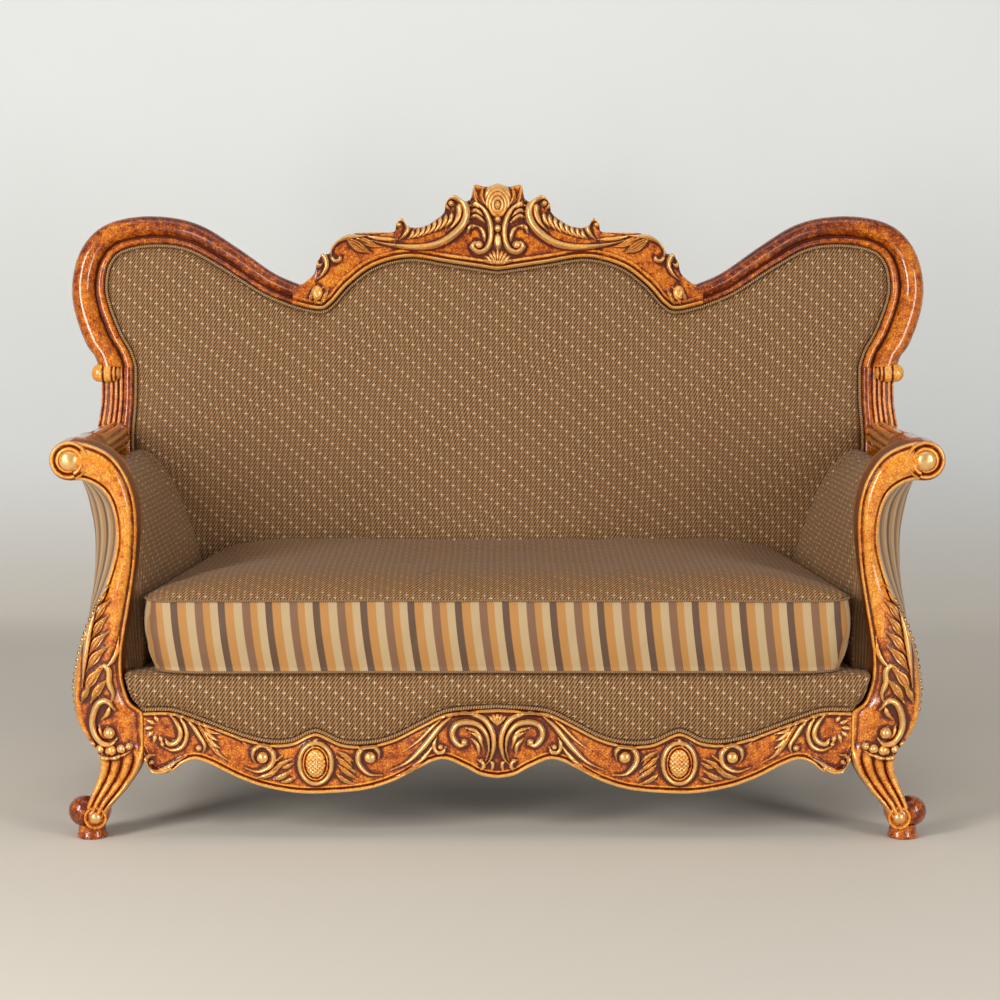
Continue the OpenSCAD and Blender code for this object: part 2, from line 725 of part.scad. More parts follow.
// A cord that runs along points p, six sided
function cord_ring(p, i, r, closed) =
    let (n = len(p), a = closed ? p[(i + n - 1) % n] : p[max(i - 1, 0)],
        b = closed ? p[(i + 1) % n] : p[min(i + 1, n - 1)], d = (b - a) / norm(b - a),
        up = abs(d[1]) > 0.9 ? [0, 0, 1] : [0, 1, 0],
        u = cross(up, d) / norm(cross(up, d)), w = cross(d, u))
    [for (k = [0:5]) p[i] + r * (cos(60 * k) * u + sin(60 * k) * w)];

module back_gimp() {
    path = closed_back(gap + gimp_r + gap, pad_low);
    color(trim) on_back()
        loft([for (i = [0:len(path) - 1])
            cord_ring([for (p = path) [p[0], rebate_b - gimp_r - gap, p[1]]], i, gimp_r, false)]);
}

// Platform and its front border

border_end_shares = [[0.965, 0.323], [0.90, 0.342], [0.85, 0.354], [0.80, 0.38], [0.785, 0.40]];
border_rear = apron_rear;
border_floor = concat(
    [for (s = turned(border_end_shares)) [arm_half - s[0] * post_w, s[1] * arm_h]], apron_top);
border_front = front_y + apron_set / 2;
// Front of the border above the cord: share of its height, share of its depth
border_shares = [[0, 0.12], [0.25, 0.02], [0.6, 0], [0.85, 0.1], [1, 0.4], [1, 1]];
cord_y = apron_y + gimp_r;
// Room above the cord where the apron's edge is steep, as a share of the cord
steep_share = 1.15;
cord_rebate = 2 * gimp_r * steep_share + 3 * gap;
deck_front_half = joint_x + post_w * 0.15;

module deck_front_border() {
    floor_line = concat(border_floor, part_of(flipped(border_floor), 1, len(border_floor) - 1));
    rebate_y = cord_y + gimp_r + gap;
    rings = [for (p = floor_line) let (z0 = p[1] + gap, z1 = z0 + cord_rebate, h = deck_top - gap - z1)
        concat(
            [[p[0], border_rear, z0]],
            [for (s = turned(border_shares)) [p[0], lerp(border_front, border_rear, s[1]), z1 + s[0] * h]],
            [[p[0], rebate_y, z1], [p[0], rebate_y, z0]]
        )];
    color(cloth) loft(turned(rings));
}

module deck_pad() {
    color(cloth) translate([0, 0, deck_z + gap]) linear_extrude(deck_t - 2 * gap) polygon([
        [-deck_front_half, border_rear + gap], [deck_front_half, border_rear + gap],
        [deck_front_half, post_rear], [pad_in_half - gap, post_rear + gap],
        [seat_back_w / 2 - gap, back_y - pad_stop], [seat_back_w / 2 - gap, back_y - gap],
        [-seat_back_w / 2 + gap, back_y - gap], [-seat_back_w / 2 + gap, back_y - pad_stop],
        [-pad_in_half + gap, post_rear + gap], [-deck_front_half, post_rear]
    ]);
}

module deck_gimp() {
    line = concat(apron_top, part_of(flipped(apron_top), 1, len(apron_top) - 1));
    path = inset_by(line, -gimp_r - gap);
    color(trim) loft([for (i = [1:len(line) - 2])
        cord_ring([for (p = path) [p[0], cord_y, p[1]]], i, gimp_r, false)]);
}

module seat_webbing() {
    run = [for (k = [-7:7]) if (abs(k) > 0) k * (joint_x - web_w) / 7];
    rows = [0.25, 0.5, 0.75];
    color(jute) {
        for (x = run)
            block([x - web_w / 3, apron_rear + gap, rail_low],
                [x + web_w / 3, back_rail_y + rail_t, rail_top]);
        for (t = rows) {
            y = lerp(post_rear, back_y, t);
            x = lerp(side_rail_in_front, side_rail_in_rear, t) + rail_t / 2;
            block([-x, y, rail_top], [x, y + web_w, deck_z]);
        }
    }
}

module dust_cover() {
    x1 = side_rail_in_front + rail_t / 2;
    x2 = side_rail_in_rear + rail_t / 2;
    color(black) translate([0, 0, rail_bottom - dust_t]) linear_extrude(dust_t) polygon([
        [-joint_x + gap, apron_rear + gap], [joint_x - gap, apron_rear + gap],
        [joint_x - gap, post_rear + gap], [x1, post_rear + gap], [x2, back_y - gap],
        [-x2, back_y - gap], [-x1, post_rear + gap], [-joint_x + gap, post_rear + gap]
    ]);
}

// Arms. Profiles are drawn across the arm at the front post and again at the back post, with
// equal numbers of points: share of post_w in from the scroll, share of the way from the platform
// to the top of the arm.

pad_front_shares = [
    [0.90, 0], [0.925, 0.10], [0.925, 0.20], [0.92, 0.33], [0.92, 0.47], [0.925, 0.615],
    [0.90, 0.76], [0.80, 0.85], [0.64, 0.917], [0.47, 0.933], [0.42, 0.904], [0.50, 0.824],
    [0.66, 0.744], [0.745, 0.647], [0.77, 0.55], [0.72, 0.45]
];
// The rear profile: share of the way from the edge of the seat to the back post's inner edge
pad_rear_shares = [
    [0, 0], [0.01, 0.10], [0.02, 0.20], [0.04, 0.33], [0.12, 0.45], [0.27, 0.57], [0.47, 0.68],
    [0.68, 0.76], [0.85, 0.83], [0.95, 0.86], [0.985, 0.84], [0.985, 0.80], [0.97, 0.74],
    [0.93, 0.65], [0.88, 0.55], [0.84, 0.45]
];
// The foot of both profiles, from the outside of the arm down along the tack rail: share of the
// way to that rail at the front and at the rear, share of the height
pad_foot_shares = [[0.655, 0.97, 0.33], [0.84, 0.96, 0.15], [0.97, 0.95, 0]];
pad_in_share = 0.925;
pad_in_half = arm_half - pad_in_share * post_w;
pad_stop = back_crown / cos(rake) + gap;
arm_levels = [0, 0.2, 0.45, 0.7, 1];

// The point at share t of the way from the post to the back, which stops short of the frame
function arm_point(f, r, t, stop) =
    let (x = lerp(f[0], r[0], t), z = lerp(f[1], r[1], t))
    [x, lerp(post_rear + gap, back_plane(z) - stop, t), z];

// The tack rail inside an arm, and its distance from the inner face of the side rail
tack_z = lerp(rail_top, arm_h, 0.07);
tack_h = (arm_h - rail_top) * 0.075;
tack_t = 17;
tack_in = rail_t * 0.6;
tack_rear = back_y + frame_t;
function tack_line(y) =
    lerp(side_rail_in_front, side_rail_in_rear, (y - post_rear) / (tack_rear - post_rear)) + tack_in;

function pad_height(share) = lerp(deck_z + gap, arm_h, share);
pad_front = concat(
    [for (s = pad_front_shares) [arm_half - s[0] * post_w, pad_height(s[1])]],
    [for (s = pad_foot_shares)
        [lerp(pad_in_half, tack_line(post_rear) - gap, s[0]), pad_height(s[2])]]);
pad_rear_line = concat(
    [for (s = pad_rear_shares)
        [lerp(seat_back_w / 2, stile_in[len(stile_in) - 1][0], s[0]), pad_height(s[1])]],
    [for (s = pad_foot_shares) let (z = pad_height(s[2]))
        [lerp(seat_back_w / 2, tack_line(back_plane(z) - pad_stop) - gap, s[1]), z]]);

module arm_pad() {
    color(cloth) loft([for (t = arm_levels) [for (k = [0:len(pad_front) - 1])
        arm_point(pad_front[k], pad_rear_line[k], t, pad_stop)]], folded = true);
}

// Outside of the arm: the front profile behind the post, in from the scroll and up to the roll
panel_front_shares = [
    [0.31, 0.2737], [0.235, 0.3068], [0.165, 0.3399], [0.14, 0.4028], [0.18, 0.469],
    [0.24, 0.5297], [0.335, 0.5904], [0.465, 0.6511], [0.60, 0.7229], [0.685, 0.7946],
    [0.70, 0.8608], [0.64, 0.916], [0.47, 0.9601], [0.245, 0.9921]
];
// Rear profile: share of ear_w in from the outer edge of the back post, share of the height (up to
// 1 for the seat rail, then up to 2 for the roll), share of the drop of the arm roll
panel_rear_shares = [
    [0.17, 0.666, 0], [0.115, 0.747, 0], [0.06, 0.83, 0], [0.046, 1, 0], [0.046, 1.0988, 0],
    [0.046, 1.2023, 0], [0.046, 1.3046, 0], [0.046, 1.408, 0], [0.046, 1.5291, 0],
    [0.046, 1.6514, 0.1], [0.046, 1.7408, 0.3], [0.07, 1.8466, 0.7], [0.13, 1.9384, 1],
    [0.30, 1.9854, 1]
];
// How far the side swells beyond the straight line between the two, in shares of post_w
swell_shares = [0, 0.02, 0.03, 0.04, 0.05, 0.06, 0.08, 0.11, 0.14, 0.16, 0.17, 0.16, 0.14, 0.09];
// Shares of the depth of the arm where the swell is full and where it starts to fall
swell_full = 0.35;
swell_fall = 0.55;
panel_levels = [0, 0.03, 0.07, 0.11, 0.15, 0.2, 0.26, 0.35, 0.55, 0.7, 0.85, 1];
panel_top = arm_h - scroll_r - roll_r - 2 * gap;
stile_out_line = [for (p = stile_out) [p[1], p[0]]];

function swell(t) = t < swell_full ? ease(t / swell_full)
    : 1 - ease(clamped((t - swell_fall) / (1 - swell_fall)));
function panel_end(s) =
    let (z = min(s[1], 1) * rail_top + max(s[1] - 1, 0) * (panel_top - rail_top) - s[2] * roll_drop,
        x = lookup((z - rail_top) / cos(rake), stile_out_line))
    [x - s[0] * ear_w, z];
panel_front = [for (s = panel_front_shares) [arm_half - s[0] * post_w, s[1] * panel_top]];
function panel_point(k, t, d) =
    let (p = lerp(panel_front[k], panel_end(panel_rear_shares[k]), t),
        q = p + [swell(t) * swell_shares[k] * post_w, 0] - d * outward(panel_front, k))
    [q[0], lerp(post_rear + gap, back_plane(q[1]) - 2 * gap, t), q[1]];

module arm_panel() {
    n = len(panel_front_shares);
    color(stripe) loft([for (t = panel_levels) concat(
        [for (k = [n - 1:-1:0]) panel_point(k, t, 0)], [for (k = [0:n - 1]) panel_point(k, t, panel_t)]
    )], folded = true);
}

roll_front = [arm_half - scroll_r, arm_h - scroll_r];
roll_rear = [stile_mid + ear_w * 0.08, arm_h - scroll_r - roll_drop];
roll_sides = 16;

module arm_roll() {
    color(wood) {
        loft([for (t = arm_levels) [for (k = [0:roll_sides - 1])
            let (a = -360 * k / roll_sides, o = roll_r * [cos(a), sin(a)])
            arm_point(roll_front + o, roll_rear + o, t, gap)]]);
        translate([roll_front[0], post_rear + cut, roll_front[1]]) rotate([90, 0, 0])
            cylinder(r = roll_tenon_r, h = tenon_l + cut, $fn = 32);
    }
}

module arm_tack_rail() {
    color(beech) intersection() {
        translate([0, 0, tack_z]) linear_extrude(tack_h) polygon([
            [tack_line(post_rear), post_rear + gap], [tack_line(post_rear) + tack_t, post_rear + gap],
            [tack_line(tack_rear) + tack_t, tack_rear], [tack_line(tack_rear), tack_rear]
        ]);
        on_back() block([0, -seat_run, -arm_h], [back_half, -gap, arm_h]);
    }
}

// Nail heads along the front edge of the bulged part of the outside arm, evenly spaced

nail_edge = 8;
nail_pitch = 13;
nail_rows = [for (k = [1:7]) k];
nail_depth = nail_edge / (back_y - post_rear) / panel_levels[1];

// The place of a nail head on line k of the panel, and the direction of that line
function nail_at(k) = lerp(panel_point(k, 0, 0), panel_point(k, panel_levels[1], 0), nail_depth);
function nail_slope(k) = panel_point(k, panel_levels[1], 0) - panel_point(k, 0, 0);
nail_line = [for (k = nail_rows) nail_at(k)];
nail_run = [for (i = 0, d = 0; i < len(nail_line);
    d = d + (i < len(nail_line) - 1 ? norm(nail_line[i + 1] - nail_line[i]) : 0), i = i + 1) [d, i]];
nail_count = floor(nail_run[len(nail_run) - 1][0] / nail_pitch);

module nailheads() {
    color(gilt) for (n = [0:nail_count]) {
        at = lookup(n * nail_pitch, nail_run);
        i = min(floor(at), len(nail_line) - 2);
        c = cross(nail_slope(nail_rows[i]), nail_line[i + 1] - nail_line[i]);
        out = c / norm(c);
        translate(lerp(nail_line[i], nail_line[i + 1], at - i) + gap * out)
            rotate([0, acos(out[2]), atan2(out[1], out[0])]) difference() {
                sphere(r = nail_r, $fn = 24);
                translate([-nail_r, -nail_r, -2 * nail_r]) cube(2 * nail_r);
            }
    }
}

// Seat cushion

cushion_front = front_y + apron_set - piping_r;
cushion_rear = back_y - cushion_gap;
cushion_half = joint_x - 2 * piping_r - 4 * gap;
cushion_rear_half = seat_back_w / 2 - 3 * cover_t - 2 * piping_r;
core_z = deck_top + cover_t;
core_h = cushion_h - 2 * cover_t;
arc_steps = 5;
// Rings of the crowned top: share of the outline and share of the crown
dome_shares = [[1, 0], [0.95, 0.32], [0.84, 0.66], [0.6, 0.92], [0.3, 1]];

// Rounded outline of the cushion in plan, drawn in by d
function cushion_corner(x, y, side, end, r) = [for (k = [0:arc_steps])
    let (a = 90 * k / arc_steps) [x - side * r + side * r * (side * end > 0 ? cos(a) : sin(a)),
        y - end * r + end * r * (side * end > 0 ? sin(a) : cos(a))]];
function cushion_line(d) =
    let (r = cushion_corner_r - d, f = cushion_half - d, b = cushion_rear_half - d,
        y0 = cushion_front + d, y1 = cushion_rear - d)
    concat(cushion_corner(b, y1, 1, 1, r), cushion_corner(-b, y1, -1, 1, r),
        cushion_corner(-f, y0, -1, -1, r), cushion_corner(f, y0, 1, -1, r));
cushion_centre = [0, (cushion_front + cushion_rear) / 2];

function dome_ring(line, c, z) = [for (p = line)
    let (q = cushion_centre + (p - cushion_centre) * c[0]) [q[0], q[1], z + c[1] * cushion_crown]];

module cushion_core() {
    line = cushion_line(cover_t + gap);
    color(foam) loft(concat(
        [[for (p = line) [p[0], p[1], core_z + gap]]],
        [for (c = dome_shares) dome_ring(line, c, core_z + core_h - gap)]
    ));
}

module cushion_top_panel() {
    line = cushion_line(0);
    z = core_z + core_h;
    color(cloth) loft(concat(
        [for (c = turned(dome_shares)) dome_ring(line, c, z)],
        [for (c = dome_shares) dome_ring(line, c, z + cover_t)]
    ));
}

module cushion_bottom_panel() {
    color(cloth) translate([0, 0, deck_top]) linear_extrude(cover_t - gap) polygon(cushion_line(0));
}

module cushion_boxing() {
    color(stripe) translate([0, 0, core_z]) difference() {
        linear_extrude(core_h - gap) polygon(cushion_line(0));
        translate([0, 0, -cut]) linear_extrude(core_h + 2 * cut) polygon(cushion_line(cover_t));
    }
}

module cushion_piping(z) {
    line = [for (p = cushion_line(-piping_r - gap)) [p[0], p[1], z]];
    color(trim) ring_loft([for (i = [0:len(line) - 1]) cord_ring(line, i, piping_r, true)]);
}

front_apron();
inner_front_rail();
mirrored() front_post();  // front_post_left
front_post();  // front_post_right
mirrored() side_seat_rail();  // side_seat_rail_left
side_seat_rail();  // side_seat_rail_right
back_seat_rail();
seat_brace();
corner_blocks();
mirrored() back_post();  // back_post_left
back_post();  // back_post_right
mirrored() back_ear();  // back_ear_left
back_ear();  // back_ear_right
crest_rail();
back_liner_rail();
back_upright();
frame_dowels();
mirrored() arm_roll();  // arm_roll_left
arm_roll();  // arm_roll_right
mirrored() arm_tack_rail();  // arm_tack_rail_left
arm_tack_rail();  // arm_tack_rail_right
seat_webbing();
back_webbing();
deck_pad();
deck_front_border();
back_pad();
back_panel();
mirrored() arm_pad();  // arm_pad_left
arm_pad();  // arm_pad_right
mirrored() arm_panel();  // arm_panel_left
arm_panel();  // arm_panel_right
back_gimp();
deck_gimp();
mirrored() nailheads();  // nailheads_left
nailheads();  // nailheads_right
dust_cover();
cushion_core();
cushion_top_panel();
cushion_bottom_panel();
cushion_boxing();
cushion_piping(core_z + core_h);  // cushion_top_piping
cushion_piping(deck_top + piping_r);  // cushion_bottom_piping
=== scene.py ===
import math

import bpy
import numpy as np
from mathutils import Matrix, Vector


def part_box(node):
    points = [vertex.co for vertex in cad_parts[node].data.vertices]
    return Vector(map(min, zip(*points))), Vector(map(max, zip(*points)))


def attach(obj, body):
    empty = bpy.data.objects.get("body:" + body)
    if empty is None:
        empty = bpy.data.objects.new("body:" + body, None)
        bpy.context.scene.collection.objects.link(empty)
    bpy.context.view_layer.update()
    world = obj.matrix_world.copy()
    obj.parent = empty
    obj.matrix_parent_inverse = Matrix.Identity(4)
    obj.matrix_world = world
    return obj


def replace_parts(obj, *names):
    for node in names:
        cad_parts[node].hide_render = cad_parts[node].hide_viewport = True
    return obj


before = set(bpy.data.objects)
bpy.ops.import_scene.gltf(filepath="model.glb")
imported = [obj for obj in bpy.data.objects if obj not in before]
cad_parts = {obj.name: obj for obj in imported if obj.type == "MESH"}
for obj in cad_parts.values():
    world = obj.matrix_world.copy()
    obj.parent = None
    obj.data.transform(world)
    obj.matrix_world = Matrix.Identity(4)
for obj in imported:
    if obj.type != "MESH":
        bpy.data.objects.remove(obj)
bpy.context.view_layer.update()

MM = 0.001


def node_box(name):
    """The least and the greatest corner of a CAD node, in mm."""
    return [np.array(c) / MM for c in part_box(name)]


# Sizes in mm, read from the CAD nodes where they show there. The gap is what pieces that meet
# leave between them.
(_, FRONT, _), (ARM_HALF, POST_REAR, ARM_H) = node_box("front_post_right")
GAP = 0.4
FOOT_H = 24
ROLL_R = 35
APRON_TENON = 20
JOINT = node_box("front_apron")[1][0] - APRON_TENON
POST_W = (ARM_HALF - JOINT) / 0.98
APRON_Y = FRONT + 12
APRON_LIFT, APRON_H, APRON_T = 84, 155, 38
RAIL_TOP = node_box("side_seat_rail_right")[1][2]
SEAT_RUN = 520
BACK_Y = POST_REAR + SEAT_RUN
RAKE = math.radians(11)
BACK_HALF, BACK_LEN, BACK_T = 867.0, 912.0, 50.0
BACK_MIDDLE = np.array([0, 0.36 * BACK_LEN])
CROWN = 26.0
CREST_PROUD = 9.0
EAR_W = 72.0
CLOTH_T = 0.3
DECK = node_box("deck_pad")[1][2] + CLOTH_T
DECK_REAR_HALF = 574.7
CIRCLE = 2 * math.pi

# Curves


def spline(points, n=8):
    """A smooth curve through points, with n steps from one to the next."""
    p = np.asarray(points, float)
    p = np.vstack([p[:1], p, p[-1:]])
    t = (np.arange(n) / n)[:, None]
    out = []
    for a, b, c, d in zip(p, p[1:], p[2:], p[3:]):
        out.append(
            (2 * b + (c - a) * t + (2 * a - 5 * b + 4 * c - d) * t**2
             + (3 * b - a - 3 * c + d) * t**3) / 2
        )
    out.append(p[-1:])
    return np.vstack(out)


def run_along(line):
    """The distance from the start of a line to each of its points."""
    return np.r_[0, np.cumsum(np.linalg.norm(np.diff(line, axis=0), axis=1))]


def even(curve, count):
    """The curve with count points, evenly apart."""
    curve = np.asarray(curve, float)
    d = run_along(curve)
    s = np.linspace(0, d[-1], count)
    return np.stack([np.interp(s, d, curve[:, k]) for k in range(curve.shape[1])], 1)


def even_ring(line, count):
    """The closed line with count points, evenly apart."""
    return even(np.vstack([line, line[:1]]), count + 1)[:-1]


def normals(curve):
    """The directions square to a curve, to its right."""
    d = np.gradient(np.asarray(curve, float), axis=0)
    return np.stack([d[:, 1], -d[:, 0]], 1) / np.linalg.norm(d, axis=1)[:, None]


def nearest(q, line):
    """Distance of points to a line, their share along it and the side they lie on."""
    best = np.full(len(q), np.inf)
    share, side = np.zeros(len(q)), np.zeros(len(q))
    for i, (a, b) in enumerate(zip(line, line[1:])):
        d = b - a
        t = np.clip(((q - a) @ d) / (d @ d), 0, 1)
        r = q - a - t[:, None] * d
        dist = np.hypot(r[:, 0], r[:, 1])
        near = dist < best
        best[near] = dist[near]
        share[near] = ((i + t) / (len(line) - 1))[near]
        side[near] = np.sign(d[0] * r[:, 1] - d[1] * r[:, 0])[near]
    return best, share, side


def smoothstep(x, lo=0.0, hi=1.0):
    t = np.clip((x - lo) / (hi - lo), 0, 1)
    return t * t * (3 - 2 * t)


def peak(x, at, reach):
    """1 where x is at, and down to 0 at reach from there."""
    return np.clip(1 - np.abs(x - at) / reach, 0, 1)


def dome(k):
    """Height of a half ball of radius 1 at distance k from its middle."""
    return np.sqrt(np.clip(1 - k**2, 0, 1))


def bead(d, at, w, h):
    """A round bead of height h and half width w, where the distance d is at."""
    return h * dome((d - at) / w)


def groove(d, at, w):
    """A soft groove of depth 1."""
    return np.exp(-(((d - at) / w) ** 2))


def reeds(f, first, count):
    """Rounded reeds side by side over the share f of a width, from 0 to 1."""
    return np.abs(np.sin(math.pi * (first + count * f)))


# Photo pixels to places. The lens looks down a little, so the horizon lies above its middle.

LENS, PHOTO_W = 2500.0, 1000
MIDDLE_X, MIDDLE_Y, HORIZON_Y = 497.5, 500, 165
PITCH = math.atan((MIDDLE_Y - HORIZON_Y) / LENS)
EYE = np.array([0.0, FRONT - 4390.0, 1200.0])
BACK_UP = np.array([0, math.sin(RAKE), math.cos(RAKE)])
BACK_IN = np.array([0, math.cos(RAKE), -math.sin(RAKE)])


def ray(px, py):
    """The direction from the eye through a photo pixel."""
    u, v = (px - MIDDLE_X) / LENS, (MIDDLE_Y - py) / LENS
    s, c = math.sin(PITCH), math.cos(PITCH)
    return np.array([u, c + v * s, -s + v * c])


def on_front(y):
    """Takes photo pixels to X and Z on the upright plane at y."""

    def place(points):
        out = []
        for p in points:
            r = ray(*p)
            q = EYE + r * (y - EYE[1]) / r[1]
            out.append([q[0], q[2]])
        return np.array(out)

    return place


def on_rake(b):
    """Takes photo pixels to X and the distance up the rake, on the back's plane at depth b."""
    base = np.array([0, BACK_Y, RAIL_TOP]) + b * BACK_IN

    def place(points):
        out = []
        for p in points:
            r = ray(*p)
            q = EYE + r * ((base - EYE) @ BACK_IN) / (r @ BACK_IN)
            out.append([q[0], (q - base) @ BACK_UP])
        return np.array(out)

    return place


def back_space(x, b, v):
    """The back's own X, depth and distance up the rake, as the row's coordinates in mm."""
    x, b, v = np.broadcast_arrays(x, b, v)
    return np.stack(
        [x, BACK_Y + v * math.sin(RAKE) + b * math.cos(RAKE),
         RAIL_TOP + v * math.cos(RAKE) - b * math.sin(RAKE)], -1)


def upright(x, y, z):
    """The row's coordinates in mm, one point in the last axis."""
    x, y, z = np.broadcast_arrays(x, y, z)
    return np.stack([x, y, z], -1)


# Meshes


def vertices(m, kind=float):
    """The places of a mesh's vertices, one row each."""
    v = np.empty(len(m.vertices) * 3, kind)
    m.vertices.foreach_get("co", v)
    return v.reshape(-1, 3)


def placed(name, m, body):
    """A new object for mesh m, riding on a body of the part."""
    o = bpy.data.objects.new(name, m)
    bpy.context.collection.objects.link(o)
    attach(o, body)
    return o


def shade_smooth(m):
    m.polygons.foreach_set("use_smooth", [True] * len(m.polygons))


def set_tone(m, values):
    """How high and gilt each point of the carving is, for the paint of the wood. Low values paint shade
    into the hollows.
    """
    a = m.attributes.new("tone", "FLOAT", "POINT")
    a.data.foreach_set("value", np.asarray(values, np.float32).ravel())


def loft_faces(m, n, closed):
    """Faces through m rings of n points each, with flat ends unless the rings come round."""
    i, j = np.meshgrid(np.arange(m if closed else m - 1), np.arange(n), indexing="ij")
    i, j = i.ravel(), j.ravel()
    a, b = (i + 1) % m, (j + 1) % n
    f = np.stack([i * n + j, a * n + j, a * n + b, i * n + b], 1).tolist()
    if not closed:
        f.append(list(range(n)))
        f.append(list(range(m * n - 1, (m - 1) * n - 1, -1)))
    return f


def loft(name, rings, body="frame", tones=None, uv=None, closed=False):
    """A closed mesh through rings in mm. uv is in mm too."""
    rings = np.asarray(rings, float)
    m = bpy.data.meshes.new(name)
    faces = loft_faces(*rings.shape[:2], closed)
    m.from_pydata((rings.reshape(-1, 3) * MM).tolist(), [], faces)
    m.validate()
    if tones is not None:
        set_tone(m, tones)
    if uv is not None:
        layer = m.uv_layers.new(name="UVMap")
        idx = np.zeros(len(m.loops), int)
        m.loops.foreach_get("vertex_index", idx)
        places = (uv.reshape(-1, 2)[idx] * MM).astype(np.float32)
        layer.data.foreach_set("uv", places.ravel())
    shade_smooth(m)
    return outward(placed(name, m, body))


def outward(o):
    """Turns the faces of a closed mesh outward."""
    m = o.data
    m.calc_loop_triangles()
    v = vertices(m)
    t = np.empty(len(m.loop_triangles) * 3, int)
    m.loop_triangles.foreach_get("vertices", t)
    a, b, c = (v[k] for k in t.reshape(-1, 3).T)
    if np.einsum("ij,ij->i", a, np.cross(b, c)).sum() < 0:
        m.flip_normals()
    return o


def mirrored(o, name):
    """The left piece of a right one."""
    m = o.data.copy()
    m.name = name
    v = vertices(m, np.float32)
    v[:, 0] *= -1
    m.vertices.foreach_set("co", v.ravel())
    m.flip_normals()
    return placed(name, m, "frame")


def pick(o):
    """Makes o the one selected object."""
    bpy.ops.object.select_all(action="DESELECT")
    o.select_set(True)
    bpy.context.view_layer.objects.active = o


def joined(name, objs):
    """One object of several whose meshes lie in the row's frame."""
    pick(objs[0])
    for o in objs:
        o.select_set(True)
    bpy.ops.object.join()
    o = bpy.context.view_layer.objects.active
    o.name = name
    o.select_set(False)
    return o


def sharpen(o, degrees):
    """Keeps edges that turn by more than this many degrees sharp."""
    pick(o)
    bpy.ops.object.shade_smooth_by_angle(angle=math.radians(degrees))
    o.select_set(False)
    return o


def ball(name, at, radius, tone_value):
    """A round ball of one tone. at and radius are in mm."""
    bpy.ops.mesh.primitive_uv_sphere_add(
        segments=48, ring_count=24, radius=radius * MM, location=tuple(np.array(at) * MM))
    o = bpy.context.active_object
    o.name = name
    bpy.ops.object.transform_apply(location=True, rotation=True, scale=True)
    set_tone(o.data, np.full(len(o.data.vertices), tone_value))
    shade_smooth(o.data)
    o.select_set(False)
    return o


STRAND_DEPTH = 0.16


def sweep(name, path, radius, sides=12, body="frame", closed=False, twist=0.0, up=(0, 1, 0)):
    """A round cord along path, of two strands where twist gives their pitch. u runs along it and v
    around it, in mm."""
    path = np.asarray(path, float)
    if closed:
        d = np.roll(path, -1, 0) - np.roll(path, 1, 0)
    else:
        d = np.gradient(path, axis=0)
    d /= np.linalg.norm(d, axis=1)[:, None]
    up = np.broadcast_to(np.asarray(up, float), d.shape)
    u = np.cross(up, d)
    u /= np.linalg.norm(u, axis=1)[:, None]
    w = np.cross(d, u)
    run = run_along(path)
    a = np.linspace(0, CIRCLE, sides, endpoint=False)
    ring = np.full((len(path), sides), float(radius))
    if twist:
        ring = ring * (1 + STRAND_DEPTH * np.cos(2 * (a[None] + run[:, None] / twist * CIRCLE)))
    around = np.cos(a)[None, :, None] * u[:, None] + np.sin(a)[None, :, None] * w[:, None]
    rings = path[:, None] + ring[..., None] * around
    uv = np.stack(np.broadcast_arrays(run[:, None], a[None] * radius), -1)
    return loft(name, rings, body, uv=uv, closed=closed)


# Carving

STROKE_STEPS = 60


